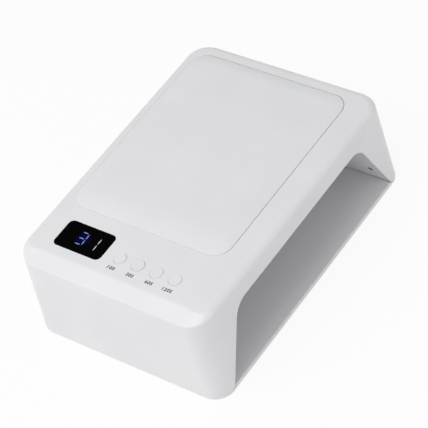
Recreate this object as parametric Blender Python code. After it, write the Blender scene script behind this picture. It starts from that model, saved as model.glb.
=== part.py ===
"""LED nail lamp with a hand rest on top.

Metres, +Z up. +X runs from the control end to the far end, and the hand opening faces -Y. The origin is on
the surface that the feet stand on, under the middle of the lamp. The housing, with the liner of the hand
cavity inside it, stands on a base plate that magnets hold. The control board hangs under the top, the LED
boards lie on the liner, and the driver board is behind the cavity.
"""

import math

import bmesh
import bpy
from mathutils import Matrix, Vector

# Clearances
GAP = 0.0003
SLIDE_GAP = 0.0005
OVERRUN = 0.004
WELD = 0.001

# Housing
BASE_LENGTH = 0.260
BASE_WIDTH = 0.1806
TOP_HEIGHT = 0.0858
END_FLARE = 0.0030
SIDE_FLARE = 0.0020
BASE_CORNER = 0.016
TOP_CORNER = 0.019
FRONT_EDGE = 0.0055
BACK_EDGE = 0.0055
FAR_EDGE = 0.0075
BEVEL_WIDTH = 0.0140
BEVEL_HEIGHT = 0.0072
SIDE_WALL = 0.0025
TOP_WALL = 0.0030
# Steps of the broad bevel at the control end, from its foot on the wall to the top: shares of its width
# and of its height.
BEVEL_STEP_SHARES = (
    (0.0, 0.0),
    (0.02, 0.13),
    (0.07, 0.23),
    (0.33, 0.47),
    (0.66, 0.78),
    (0.88, 0.95),
    (1.0, 1.0),
)

# Base plate, floor sheet and feet
FOOT_STAND = 0.0010
FOOT_THICKNESS = 0.0020
FOOT_RADIUS = 0.0070
FOOT_FROM_END = 0.0220
FOOT_FROM_SIDE = 0.0183
PLATE_THICKNESS = 0.0036
SHEET_THICKNESS = 0.0008
SHEET_LIP = 0.0012

# Hand cavity: the inside of the liner, and the opening in the housing's front
PILLAR_WIDTH = 0.0176
ROOF_SPACE = 0.0184
CAVITY_RUN = 0.0274
CAVITY_CORNER = 0.0170
LINER_WALL = 0.0022
FLANGE_THICKNESS = 0.0020
BACK_CHAMBER = 0.0170

# Hand rest
REST_FROM_CONTROL_END = 0.0610
REST_FROM_FAR_END = 0.0130
REST_FROM_FRONT = 0.0223
REST_FROM_BACK = 0.0086
REST_CORNER = 0.0140
REST_SEAT_DEPTH = 0.0012
REST_SEAM = 0.0004
REST_EDGE = 0.0002
REST_CROWN = 0.0026
REST_ROLL_CONTROL_END = 0.0220
REST_ROLL_FAR_END = 0.0120
REST_ROLL_FRONT = 0.0160
REST_ROLL_BACK = 0.0110
REST_INNER_CORNER = 0.0050
REST_STEPS = 7

# Display
WINDOW_FROM_CONTROL_END = 0.0216
PANEL_BACK_SHARE = 0.372
WINDOW_LENGTH = 0.0258
WINDOW_WIDTH = 0.0445
WINDOW_CORNER = 0.0042
WINDOW_THICKNESS = 0.0015
WINDOW_LEDGE = 0.0022
MODULE_LENGTH = 0.0190
MODULE_WIDTH = 0.0376

# Buttons and their switches
BUTTON_NAMES = ("10s", "30s", "60s", "120s")
BUTTON_RADIUS = 0.0050
BUTTON_PITCH = 0.0171
BUTTON_GAP = 0.00035
BUTTON_RISE = 0.0004
BUTTON_FLANGE = 0.0012
BUTTON_FLANGE_THICKNESS = 0.0012
BUTTON_EDGE = 0.0005
STEM_RADIUS = 0.0015
STEM_LENGTH = 0.0007
WINDOW_TO_BUTTON = 0.0145
BUTTON_FROM_CONTROL_END = 0.0306
SWITCH_SIDE = 0.0060
SWITCH_HEIGHT = 0.0033
PLUNGER_RADIUS = 0.0016
PLUNGER_STANDS = 0.0010
PLUNGER_LENGTH = 0.0025
BUTTON_TRAVEL = 0.0006

# Control board
BOARD_THICKNESS = 0.0016
CONTROL_BOARD_LENGTH = 0.0390
CONTROL_BOARD_FROM_END = 0.0140
CONTROL_BOARD_PAST_WINDOW = 0.0055
CONTROL_BOARD_PAST_BUTTONS = 0.0123
CHIP_SIDE = 0.0070
CHIP_HEIGHT = 0.0016

# Screws
SCREW_RADIUS = 0.0013
SCREW_HEAD_RADIUS = 0.0026
SCREW_HEAD = 0.0018
SCREW_DRIVE_DEPTH = 0.0010
SCREW_DRIVE_RADIUS = 0.0012
BOSS_RADIUS = 0.0032
BOARD_SCREW_INSET = 0.0045
BOARD_SCREW_LENGTH = 0.0065
LINER_SCREW_LENGTH = 0.0140
POST_RADIUS = 0.0035
CUP_RADIUS = 0.0050
CUP_HEIGHT = 0.0055
POST_FROM_WALL = 0.0085
POST_FROM_FRONT = 0.0158
POST_FROM_BACK = 0.0235

# Magnets and steel discs
MAGNET_RADIUS = 0.0045
MAGNET_HEIGHT = 0.0030
MAGNET_WALL = 0.0017
MAGNET_FROM_WALL = 0.0083
MAGNET_FROM_POST = 0.0200
DISC_RADIUS = 0.0058
DISC_THICKNESS = 0.0012

# LED boards and lenses
LENS_RADIUS = 0.0040
LENS_STANDS = 0.0008
LENS_PLATE = 0.0015
LENS_ROUND = 0.0012
LED_SIDE = 0.0035
LED_HEIGHT = 0.0011
CEILING_LED_ROWS = 5
CEILING_LED_COLUMNS = 4
CEILING_MARGIN = 0.0060
CAVITY_FRONT_MARGIN = 0.0260
CAVITY_BACK_MARGIN = 0.0170
SLOPE_LED_ROWS = 2
SLOPE_BOARD_HEIGHT = 0.0360
SLOPE_BOARD_LIFT = 0.0095
CEILING_SCREW_BACK_SHARE = 0.5

# Driver board and inlet, behind the cavity
DRIVER_LENGTH = 0.0900
DRIVER_HEIGHT = 0.0420
DRIVER_FROM_FAR_WALL = 0.0420
DRIVER_LIFT = 0.0140
DRIVER_OFF_WALL = 0.0050
COIL_RADIUS = 0.0060
COIL_HEIGHT = 0.0060
CAPACITOR_RADIUS = 0.0040
CAPACITOR_LENGTH = 0.0055
HEAT_SINK_LENGTH = 0.0140
HEAT_SINK_HEIGHT = 0.0160
HEAT_SINK_DEPTH = 0.0050
INLET_FROM_DRIVER = 0.0580
INLET_LIFT = 0.0190
INLET_WIDTH = 0.0090
INLET_HEIGHT = 0.0110
INLET_DEPTH = 0.0125
INLET_BARREL = 0.0040
INLET_BORE = 0.0029
INLET_PIN = 0.0010
INLET_BORE_DEPTH = 0.0095

# Sensor eyes near the opening
EYE_RADIUS = 0.0025
EYE_FLANGE = 0.0036
EYE_FLANGE_THICKNESS = 0.0010
EYE_LENGTH = 0.0055
EYE_SUNK = 0.0003
EYE_FROM_FRONT = 0.0121
EYE_LIFT = 0.0170

# Leads inside the housing
LEAD_RADIUS = 0.0012
INLET_LEAD_RADIUS = 0.0016
LEAD_STUB = 0.0040
LEAD_LIFT = 0.0022
HIGH_CORNER_SHARE = 0.85
LOW_CORNER_SHARE = 0.35

# Fineness of round shapes
CORNER_STEPS = 6
INNER_CORNER_STEPS = 4
SCREW_ROUND = 8
LENS_ROUND_STEPS = 8
SMALL_ROUND = 12
ROUND = 16
BUTTON_ROUND = 24
LEAD_POINTS = 4

# Levels above the ground
FLOOR = FOOT_STAND + PLATE_THICKNESS
CEILING = TOP_HEIGHT - ROOF_SPACE
CAVITY_HEIGHT = CEILING - FLOOR
FLANGE_BOTTOM = FLOOR + GAP
UNDERSIDE = TOP_HEIGHT - TOP_WALL
HALF_LENGTH = BASE_LENGTH / 2
HALF_WIDTH = BASE_WIDTH / 2
TOP_HALF_LENGTH = HALF_LENGTH - END_FLARE
TOP_HALF_WIDTH = HALF_WIDTH - SIDE_FLARE
LEAN = math.atan2(CAVITY_RUN, CAVITY_HEIGHT)
FLOOR_HALF = HALF_LENGTH - PILLAR_WIDTH


def remove_startup_objects():
    for obj in list(bpy.data.objects):
        bpy.data.objects.remove(obj, do_unlink=True)


def material(name, colour, roughness, metallic=0.0):
    """A plain Principled finish, made once for each name."""
    made = bpy.data.materials.get(name)
    if made:
        return made
    made = bpy.data.materials.new(name)
    made.use_nodes = True
    made.diffuse_color = (*colour, 1.0)
    shader = made.node_tree.nodes["Principled BSDF"]
    shader.inputs["Base Color"].default_value = (*colour, 1.0)
    shader.inputs["Roughness"].default_value = roughness
    shader.inputs["Metallic"].default_value = metallic
    return made


def white_plastic():
    return material("white_plastic", (0.80, 0.80, 0.81), 0.35)


def liner_plastic():
    return material("liner_plastic", (0.72, 0.72, 0.73), 0.45)


def black_plastic():
    return material("black_plastic", (0.01, 0.01, 0.012), 0.3)


def board_green():
    return material("board_green", (0.03, 0.16, 0.07), 0.5)


def board_metal():
    return material("board_metal", (0.75, 0.76, 0.78), 0.4, 1.0)


def clear_lens():
    return material("clear_lens", (0.80, 0.82, 0.90), 0.1)


def steel():
    return material("steel", (0.55, 0.55, 0.56), 0.3, 1.0)


def rubber():
    return material("rubber", (0.05, 0.05, 0.05), 0.8)


def finish(name, bm, finish_material, origin=None):
    """Turns a bmesh, built in world places, into a named object, with its origin where it is asked for."""
    bmesh.ops.recalc_face_normals(bm, faces=bm.faces)
    mesh = bpy.data.meshes.new(name)
    if origin is not None:
        bmesh.ops.translate(bm, verts=bm.verts, vec=-Vector(origin))
    bm.to_mesh(mesh)
    bm.free()
    mesh.materials.append(finish_material)
    obj = bpy.data.objects.new(name, mesh)
    if origin is not None:
        obj.location = origin
    bpy.context.scene.collection.objects.link(obj)
    mesh.shade_smooth()
    mesh.set_sharp_from_angle(angle=math.radians(30))
    return obj


def boolean(obj, bm, operation):
    """Cuts the closed shapes of bm from obj, or joins them to it."""
    tool = finish(obj.name + "_tool", bm, obj.data.materials[0])
    tool.hide_render = True
    modifier = obj.modifiers.new("tool", "BOOLEAN")
    modifier.object = tool
    modifier.operation = operation
    bpy.context.view_layer.update()
    evaluated = obj.evaluated_get(bpy.context.evaluated_depsgraph_get())
    mesh = bpy.data.meshes.new_from_object(evaluated)
    obj.modifiers.clear()
    old = obj.data
    obj.data = mesh
    mesh.name = old.name
    bpy.data.meshes.remove(old)
    bpy.data.objects.remove(tool, do_unlink=True)
    mesh.shade_smooth()
    mesh.set_sharp_from_angle(angle=math.radians(30))


def cut(obj, bm):
    boolean(obj, bm, "DIFFERENCE")


def join(obj, bm):
    boolean(obj, bm, "UNION")


def add_loft(bm, rings):
    """A closed shape through rings of points, each ring with as many points as the next."""
    loops = [[bm.verts.new(point) for point in ring] for ring in rings]
    for low, high in zip(loops, loops[1:]):
        for index, corner in enumerate(low):
            after = (index + 1) % len(low)
            bm.faces.new((corner, low[after], high[after], high[index]))
    bm.faces.new(loops[0][::-1])
    bm.faces.new(loops[-1])


def add_box(bm, low, high, matrix=None):
    """A box between two corners, turned and moved by matrix if one is given."""
    size = Vector(high) - Vector(low)
    place = Matrix.Translation((Vector(low) + Vector(high)) / 2) @ Matrix.Diagonal((*size, 1.0))
    if matrix is not None:
        place = matrix @ place
    bmesh.ops.create_cube(bm, size=1.0, matrix=place)


def circle(radius, steps, centre=(0.0, 0.0)):
    turns = [2 * math.pi * step / steps for step in range(steps)]
    return [(centre[0] + radius * math.cos(turn), centre[1] + radius * math.sin(turn)) for turn in turns]


def add_turned(bm, profile, steps, place):
    """A closed shape turned about the local Z axis through (radius, height) pairs, put in place."""
    rings = []
    for radius, height in profile:
        ring = [(x, y, height) for x, y in circle(radius, steps)]
        rings.append([place @ Vector(point) for point in ring])
    add_loft(bm, rings)


def add_cylinder(bm, radius, low, high, steps, place):
    add_turned(bm, ((radius, low), (radius, high)), steps, place)


def at(x, y, z=0.0):
    return Matrix.Translation((x, y, z))


def rounded_rectangle(x_low, x_high, y_low, y_high, radius, steps, z):
    """A ring at height z with a round arc at each corner."""
    ring = []
    corners = ((1, 1), (-1, 1), (-1, -1), (1, -1))
    for quarter, (side_x, side_y) in enumerate(corners):
        centre_x = x_high - radius if side_x > 0 else x_low + radius
        centre_y = y_high - radius if side_y > 0 else y_low + radius
        for step in range(steps + 1):
            turn = math.pi / 2 * (quarter + step / steps)
            ring.append((centre_x + radius * math.cos(turn), centre_y + radius * math.sin(turn), z))
    return ring


def half_length(z):
    return HALF_LENGTH - END_FLARE * (z - FOOT_STAND) / (TOP_HEIGHT - FOOT_STAND)


def half_width(z):
    return HALF_WIDTH - SIDE_FLARE * (z - FOOT_STAND) / (TOP_HEIGHT - FOOT_STAND)


def corner_radius(z):
    return BASE_CORNER + (TOP_CORNER - BASE_CORNER) * (z - FOOT_STAND) / (TOP_HEIGHT - FOOT_STAND)


def housing_outline(z, inset, steps):
    """The housing's plan outline at height z, drawn in by inset all round."""
    length = half_length(z) - inset
    width = half_width(z) - inset
    return rounded_rectangle(-length, length, -width, width, corner_radius(z) - inset, steps, z)


def edge_place(normal, step):
    """How far in and how far below the top the housing's upper edge lies at one step of its profile."""
    normal_x, normal_y = normal
    bevel_share = max(0.0, -normal_x) ** 2
    bevel_in = BEVEL_STEP_SHARES[step][0] * BEVEL_WIDTH
    bevel_down = (1 - BEVEL_STEP_SHARES[step][1]) * BEVEL_HEIGHT
    far_share = max(0.0, normal_x) ** 2
    front_share = max(0.0, -normal_y) ** 2
    back_share = max(0.0, normal_y) ** 2
    round_share = max(far_share + front_share + back_share, 1e-9)
    radius = (far_share * FAR_EDGE + front_share * FRONT_EDGE + back_share * BACK_EDGE) / round_share
    turn = math.pi / 2 * step / (len(BEVEL_STEP_SHARES) - 1)
    round_in = radius * (1 - math.cos(turn))
    round_down = radius * (1 - math.sin(turn))
    inward = bevel_share * bevel_in + (1 - bevel_share) * round_in
    down = bevel_share * bevel_down + (1 - bevel_share) * round_down
    return inward, down


def edge_ring(step, wall, roof, steps):
    """One ring of the housing's upper edge, or of its inner face with a wall and a roof thickness."""
    ring = []
    for quarter, (side_x, side_y) in enumerate(((1, 1), (-1, 1), (-1, -1), (1, -1))):
        for corner_step in range(steps + 1):
            turn = math.pi / 2 * (quarter + corner_step / steps)
            normal = (math.cos(turn), math.sin(turn))
            inward, down = edge_place(normal, step)
            z = TOP_HEIGHT - roof - down
            outer = TOP_HEIGHT - down
            radius = corner_radius(outer)
            reach = radius - inward - wall
            x = side_x * (half_length(outer) - radius) + normal[0] * reach
            y = side_y * (half_width(outer) - radius) + normal[1] * reach
            ring.append((x, y, z))
    return ring


def roof_over(x):
    """Height of the housing's outer face above a place near one of its ends, away from the corners."""
    reach = max(0.0, TOP_HALF_LENGTH - abs(x))
    if x > 0:
        return TOP_HEIGHT - FAR_EDGE + math.sqrt(FAR_EDGE**2 - max(0.0, FAR_EDGE - reach) ** 2)
    share = min(1.0, reach / BEVEL_WIDTH)
    for before, after in zip(BEVEL_STEP_SHARES, BEVEL_STEP_SHARES[1:]):
        if share <= after[0]:
            part = (share - before[0]) / (after[0] - before[0])
            return TOP_HEIGHT - BEVEL_HEIGHT * (1 - before[1] - part * (after[1] - before[1]))
    return TOP_HEIGHT


def add_housing_form(bm, bottom, wall, roof, steps):
    rings = [housing_outline(bottom, wall, steps)]
    rings += [edge_ring(step, wall, roof, steps) for step in range(len(BEVEL_STEP_SHARES))]
    add_loft(bm, rings)


def slope_x(z, offset):
    """X of the cavity's slanted wall at height z, moved outwards by offset."""
    return FLOOR_HALF + offset / math.cos(LEAN) - (z - FLOOR) * math.tan(LEAN)


def shoulder(share, offset):
    """A point of the cavity's rounded corner, from the slope to the ceiling, moved outwards by offset."""
    turn = LEAN + (math.pi / 2 - LEAN) * share
    radius = CAVITY_CORNER + offset
    centre_z = CEILING - CAVITY_CORNER
    centre_x = slope_x(centre_z, -CAVITY_CORNER)
    return centre_x + radius * math.cos(turn), centre_z + radius * math.sin(turn)


def arch(bottom, offset, steps):
    """The cavity's section as (x, z) pairs from its right foot over the ceiling, moved outwards by offset."""
    right = [(slope_x(bottom, offset), bottom)]
    right += [shoulder(step / steps, offset) for step in range(steps + 1)]
    return right + [(-x, z) for x, z in reversed(right)]


def front_face(z):
    return -half_width(z)


def add_arch_prism(bm, bottom, offset, steps, front, back):
    """The arch swept along Y between two faces, whose Y may follow the height."""
    outline = arch(bottom, offset, steps)
    add_loft(bm, [[(x, front(z), z) for x, z in outline], [(x, back(z), z) for x, z in outline]])


def slope_frame(side, y, z):
    """A local frame on the cavity's slanted wall: Z outwards through the wall, X up the slope."""
    outward = Vector((side * math.cos(LEAN), 0.0, math.sin(LEAN)))
    upward = Vector((-side * math.sin(LEAN), 0.0, math.cos(LEAN)))
    sideways = outward.cross(upward)
    turned = Matrix((upward, sideways, outward)).transposed().to_4x4()
    return at(side * slope_x(z, 0.0), y, z) @ turned


# Where the panel's pieces lie
PANEL_WIDTH = WINDOW_WIDTH + WINDOW_TO_BUTTON + BUTTON_PITCH * (len(BUTTON_NAMES) - 1) + BUTTON_RADIUS
WINDOW_FROM_BACK = (2 * TOP_HALF_WIDTH - PANEL_WIDTH) * PANEL_BACK_SHARE
WINDOW_START = -TOP_HALF_LENGTH + WINDOW_FROM_CONTROL_END
WINDOW_X = (WINDOW_START, WINDOW_START + WINDOW_LENGTH)
WINDOW_Y = (TOP_HALF_WIDTH - WINDOW_FROM_BACK - WINDOW_WIDTH, TOP_HALF_WIDTH - WINDOW_FROM_BACK)
BUTTON_X = -TOP_HALF_LENGTH + BUTTON_FROM_CONTROL_END
BUTTON_YS = [WINDOW_Y[0] - WINDOW_TO_BUTTON - BUTTON_PITCH * place for place in range(len(BUTTON_NAMES))]
REST_X = (-TOP_HALF_LENGTH + REST_FROM_CONTROL_END, TOP_HALF_LENGTH - REST_FROM_FAR_END)
REST_Y = (-TOP_HALF_WIDTH + REST_FROM_FRONT, TOP_HALF_WIDTH - REST_FROM_BACK)

# The stack under the panel, from the top down
CAP_FLANGE_TOP = UNDERSIDE - GAP
CAP_FLANGE_BOTTOM = CAP_FLANGE_TOP - BUTTON_FLANGE_THICKNESS
STEM_BOTTOM = CAP_FLANGE_BOTTOM - STEM_LENGTH
PLUNGER_TOP = STEM_BOTTOM - GAP
SWITCH_TOP = PLUNGER_TOP - PLUNGER_STANDS
SWITCH_BOTTOM = SWITCH_TOP - SWITCH_HEIGHT
CONTROL_BOARD_TOP = SWITCH_BOTTOM - GAP
CONTROL_BOARD_X = (
    -TOP_HALF_LENGTH + CONTROL_BOARD_FROM_END,
    -TOP_HALF_LENGTH + CONTROL_BOARD_FROM_END + CONTROL_BOARD_LENGTH,
)
CONTROL_BOARD_Y = (BUTTON_YS[-1] - CONTROL_BOARD_PAST_BUTTONS, WINDOW_Y[1] + CONTROL_BOARD_PAST_WINDOW)
CONTROL_SCREWS = [
    (x, y)
    for x in (CONTROL_BOARD_X[0] + BOARD_SCREW_INSET, CONTROL_BOARD_X[1] - BOARD_SCREW_INSET)
    for y in (CONTROL_BOARD_Y[0] + BOARD_SCREW_INSET, CONTROL_BOARD_Y[1] - BOARD_SCREW_INSET / 2)
]

# The stack on the cavity's ceiling, from the liner up
LINER_TOP = CEILING + LINER_WALL
LENS_PLATE_BOTTOM = LINER_TOP + GAP
LED_BOTTOM = LENS_PLATE_BOTTOM + LENS_PLATE + GAP
LED_BOARD_BOTTOM = LED_BOTTOM + LED_HEIGHT
LED_BOARD_TOP = LED_BOARD_BOTTOM + BOARD_THICKNESS
CAVITY_BACK = HALF_WIDTH - SIDE_WALL - BACK_CHAMBER - LINER_WALL
LED_Y = (-HALF_WIDTH + CAVITY_FRONT_MARGIN, CAVITY_BACK - CAVITY_BACK_MARGIN)
CEILING_FLAT = slope_x(CEILING - CAVITY_CORNER, -CAVITY_CORNER)
CEILING_X = (-CEILING_FLAT + CEILING_MARGIN, CEILING_FLAT - CEILING_MARGIN)

# The posts, cups and magnets at the two ends
POST_Y = (-HALF_WIDTH + SIDE_WALL + POST_FROM_FRONT, HALF_WIDTH - SIDE_WALL - POST_FROM_BACK)
POSTS = [(side * (HALF_LENGTH - SIDE_WALL - POST_FROM_WALL), y) for side in (-1, 1) for y in POST_Y]
MAGNET_Y = (POST_Y[0] + MAGNET_FROM_POST, POST_Y[1] - MAGNET_FROM_POST)
MAGNETS = [(side * (HALF_LENGTH - SIDE_WALL - MAGNET_FROM_WALL), y) for side in (-1, 1) for y in MAGNET_Y]
POST_BOTTOM = FLANGE_BOTTOM + CUP_HEIGHT + GAP
CUP_SEAT = FLANGE_BOTTOM + GAP + SCREW_HEAD + GAP

# The driver board and the inlet on the back wall
DRIVER_X = (
    HALF_LENGTH - DRIVER_FROM_FAR_WALL - DRIVER_LENGTH,
    HALF_LENGTH - DRIVER_FROM_FAR_WALL,
)
DRIVER_Z = (FOOT_STAND + DRIVER_LIFT, FOOT_STAND + DRIVER_LIFT + DRIVER_HEIGHT)
DRIVER_BACK = half_width(DRIVER_Z[0]) - SIDE_WALL - DRIVER_OFF_WALL
DRIVER_FRONT = DRIVER_BACK - BOARD_THICKNESS
DRIVER_SCREWS = [
    (x, (DRIVER_Z[0] + DRIVER_Z[1]) / 2)
    for x in (DRIVER_X[0] + BOARD_SCREW_INSET, DRIVER_X[1] - BOARD_SCREW_INSET)
]
INLET_X = DRIVER_X[0] - INLET_FROM_DRIVER
INLET_Z = FOOT_STAND + INLET_LIFT
INLET_FACE = half_width(INLET_Z)
INLET_BODY_BACK = half_width(INLET_Z + INLET_HEIGHT) - SIDE_WALL - GAP

# The sensor eyes on the slanted walls
EYE_Y = -HALF_WIDTH + EYE_FROM_FRONT
EYE_Z = FLOOR + EYE_LIFT
SLOPE_BOARD_Z = FLOOR + SLOPE_BOARD_LIFT


def backwards(x, y, z):
    """A local frame whose Z points to +Y, for what stands out of the back wall."""
    return at(x, y, z) @ Matrix.Rotation(-math.pi / 2, 4, "X")


def build_housing():
    """The outer moulding: open below, with the arch in its front, posts, bosses, panel holes and rest seat."""
    bm = bmesh.new()
    add_housing_form(bm, FOOT_STAND, 0.0, 0.0, CORNER_STEPS)
    housing = finish("housing", bm, white_plastic())
    bm = bmesh.new()
    add_housing_form(bm, FOOT_STAND - OVERRUN, SIDE_WALL, TOP_WALL, INNER_CORNER_STEPS)
    cut(housing, bm)

    bm = bmesh.new()
    for x, y in POSTS:
        outer_x = math.copysign(abs(x) + POST_RADIUS, x)
        top = roof_over(outer_x) - WELD / 2
        add_cylinder(bm, POST_RADIUS, POST_BOTTOM, top, SMALL_ROUND, at(x, y))
    for x, y in CONTROL_SCREWS:
        add_cylinder(bm, BOSS_RADIUS, CONTROL_BOARD_TOP + GAP, UNDERSIDE + WELD, SMALL_ROUND, at(x, y))
    for x, z in DRIVER_SCREWS:
        reach = half_width(z) - SIDE_WALL + WELD
        add_cylinder(bm, BOSS_RADIUS, DRIVER_BACK + GAP, reach, SMALL_ROUND, backwards(x, 0.0, z))
    join(housing, bm)

    bm = bmesh.new()
    for x, y in POSTS:
        depth = CUP_SEAT + LINER_SCREW_LENGTH + WELD
        add_cylinder(bm, SCREW_RADIUS + GAP, POST_BOTTOM - OVERRUN, depth, SMALL_ROUND, at(x, y))
    for x, y in CONTROL_SCREWS:
        bottom = CONTROL_BOARD_TOP - BOARD_THICKNESS
        depth = bottom + BOARD_SCREW_LENGTH
        add_cylinder(bm, SCREW_RADIUS + GAP, bottom, depth, SMALL_ROUND, at(x, y))
    for x, z in DRIVER_SCREWS:
        depth = DRIVER_FRONT + BOARD_SCREW_LENGTH
        add_cylinder(bm, SCREW_RADIUS + GAP, DRIVER_FRONT, depth, SMALL_ROUND, backwards(x, 0.0, z))
    cut(housing, bm)

    bm = bmesh.new()
    inside = half_width(CEILING) - SIDE_WALL - OVERRUN
    add_arch_prism(
        bm,
        FOOT_STAND - OVERRUN,
        0.0,
        CORNER_STEPS,
        lambda z: -HALF_WIDTH - OVERRUN,
        lambda z: -inside,
    )
    cut(housing, bm)

    bm = bmesh.new()
    window_seat = TOP_HEIGHT - WINDOW_THICKNESS - GAP
    add_rest_outline(bm, REST_SEAM, TOP_HEIGHT - REST_SEAT_DEPTH, TOP_HEIGHT + OVERRUN)
    add_window_outline(bm, GAP, window_seat, TOP_HEIGHT + OVERRUN)
    for y in BUTTON_YS:
        add_cylinder(
            bm,
            BUTTON_RADIUS + BUTTON_GAP,
            UNDERSIDE - OVERRUN,
            TOP_HEIGHT + OVERRUN,
            BUTTON_ROUND,
            at(BUTTON_X, y),
        )
    add_cylinder(
        bm,
        INLET_BARREL + GAP,
        INLET_BODY_BACK,
        INLET_FACE + OVERRUN,
        ROUND,
        backwards(INLET_X, 0.0, INLET_Z),
    )
    cut(housing, bm)
    bm = bmesh.new()
    add_window_outline(bm, -WINDOW_LEDGE, UNDERSIDE - OVERRUN, window_seat + WELD)
    cut(housing, bm)


def add_rest_outline(bm, out, low, high):
    rings = []
    for z in (low, high):
        ring = rounded_rectangle(
            REST_X[0] - out,
            REST_X[1] + out,
            REST_Y[0] - out,
            REST_Y[1] + out,
            REST_CORNER + out,
            CORNER_STEPS,
            z,
        )
        rings.append(ring)
    add_loft(bm, rings)


def add_window_outline(bm, out, low, high):
    rings = []
    for z in (low, high):
        ring = rounded_rectangle(
            WINDOW_X[0] - out,
            WINDOW_X[1] + out,
            WINDOW_Y[0] - out,
            WINDOW_Y[1] + out,
            WINDOW_CORNER + out,
            INNER_CORNER_STEPS,
            z,
        )
        rings.append(ring)
    add_loft(bm, rings)


def build_hand_rest():
    """The hand rest: a moulded cap whose rim stands just proud of the housing and rolls up to a low crown."""
    seat = TOP_HEIGHT - REST_SEAT_DEPTH + GAP
    rim = TOP_HEIGHT + REST_EDGE
    rings = [rounded_rectangle(*REST_X, *REST_Y, REST_CORNER, CORNER_STEPS, seat)]
    for step in range(REST_STEPS + 1):
        share = step / REST_STEPS
        rise = REST_CROWN * (1 - (1 - share) ** 2)
        ring = rounded_rectangle(
            REST_X[0] + share * REST_ROLL_CONTROL_END,
            REST_X[1] - share * REST_ROLL_FAR_END,
            REST_Y[0] + share * REST_ROLL_FRONT,
            REST_Y[1] - share * REST_ROLL_BACK,
            REST_CORNER + share * (REST_INNER_CORNER - REST_CORNER),
            CORNER_STEPS,
            rim + rise,
        )
        rings.append(ring)
    bm = bmesh.new()
    add_loft(bm, rings)
    finish("hand_rest", bm, white_plastic())


def build_window():
    bm = bmesh.new()
    add_window_outline(bm, 0.0, TOP_HEIGHT - WINDOW_THICKNESS, TOP_HEIGHT)
    finish("display_window", bm, black_plastic())


def build_display_module():
    """The three-figure module, which reaches up through the window's frame."""
    centre_x = sum(WINDOW_X) / 2
    centre_y = sum(WINDOW_Y) / 2
    low = CONTROL_BOARD_TOP + GAP
    high = TOP_HEIGHT - WINDOW_THICKNESS - GAP
    bm = bmesh.new()
    add_box(
        bm,
        (centre_x - MODULE_LENGTH / 2, centre_y - MODULE_WIDTH / 2, low),
        (centre_x + MODULE_LENGTH / 2, centre_y + MODULE_WIDTH / 2, high),
    )
    finish("display_module", bm, black_plastic())


def build_control_board():
    board_bottom = CONTROL_BOARD_TOP - BOARD_THICKNESS
    bm = bmesh.new()
    add_box(
        bm,
        (CONTROL_BOARD_X[0], CONTROL_BOARD_Y[0], board_bottom),
        (CONTROL_BOARD_X[1], CONTROL_BOARD_Y[1], CONTROL_BOARD_TOP),
    )
    board = finish("control_board", bm, board_green())
    bm = bmesh.new()
    for x, y in CONTROL_SCREWS:
        add_cylinder(
            bm,
            SCREW_RADIUS + GAP,
            board_bottom - OVERRUN,
            CONTROL_BOARD_TOP + OVERRUN,
            SMALL_ROUND,
            at(x, y),
        )
    cut(board, bm)
    bm = bmesh.new()
    for y in (BUTTON_YS[0], BUTTON_YS[2]):
        add_box(
            bm,
            (BUTTON_X - CHIP_SIDE / 2, y - CHIP_SIDE / 2, board_bottom - CHIP_HEIGHT),
            (BUTTON_X + CHIP_SIDE / 2, y + CHIP_SIDE / 2, board_bottom + BOARD_THICKNESS / 2),
        )
    join(board, bm)


def build_buttons():
    """Four caps, each with the plunger that it presses and the switch that carries the plunger."""
    for name, y in zip(BUTTON_NAMES, BUTTON_YS):
        cap_top = TOP_HEIGHT + BUTTON_RISE
        place = at(BUTTON_X, y)
        bm = bmesh.new()
        profile = (
            (STEM_RADIUS, STEM_BOTTOM),
            (STEM_RADIUS, CAP_FLANGE_BOTTOM),
            (BUTTON_RADIUS + BUTTON_FLANGE, CAP_FLANGE_BOTTOM),
            (BUTTON_RADIUS + BUTTON_FLANGE, CAP_FLANGE_TOP),
            (BUTTON_RADIUS, CAP_FLANGE_TOP),
            (BUTTON_RADIUS, cap_top - BUTTON_EDGE),
            (BUTTON_RADIUS - BUTTON_EDGE / 3, cap_top - BUTTON_EDGE / 3),
            (BUTTON_RADIUS - BUTTON_EDGE, cap_top),
        )
        add_turned(bm, profile, BUTTON_ROUND, place)
        finish("button_" + name, bm, white_plastic(), (BUTTON_X, y, TOP_HEIGHT))

        bm = bmesh.new()
        half = SWITCH_SIDE / 2
        add_box(bm, (BUTTON_X - half, y - half, SWITCH_BOTTOM), (BUTTON_X + half, y + half, SWITCH_TOP))
        switch = finish("switch_" + name, bm, black_plastic())
        plunger_bottom = PLUNGER_TOP - PLUNGER_LENGTH
        bm = bmesh.new()
        add_cylinder(
            bm,
            PLUNGER_RADIUS + GAP,
            plunger_bottom - BUTTON_TRAVEL - GAP,
            SWITCH_TOP + OVERRUN,
            SMALL_ROUND,
            place,
        )
        cut(switch, bm)
        bm = bmesh.new()
        add_cylinder(bm, PLUNGER_RADIUS, plunger_bottom, PLUNGER_TOP, SMALL_ROUND, place)
        finish("plunger_" + name, bm, white_plastic(), (BUTTON_X, y, SWITCH_TOP))


def add_screw(bm, length, place):
    """A screw whose shank runs up the local Z from the head's seat, with a square drive in the head."""
    profile = (
        (SCREW_DRIVE_RADIUS, -SCREW_HEAD + SCREW_DRIVE_DEPTH),
        (SCREW_DRIVE_RADIUS, -SCREW_HEAD),
        (SCREW_HEAD_RADIUS, -SCREW_HEAD),
        (SCREW_HEAD_RADIUS, 0.0),
        (SCREW_RADIUS, 0.0),
        (SCREW_RADIUS, length),
    )
    add_turned(bm, profile, SCREW_ROUND, place)


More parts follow.
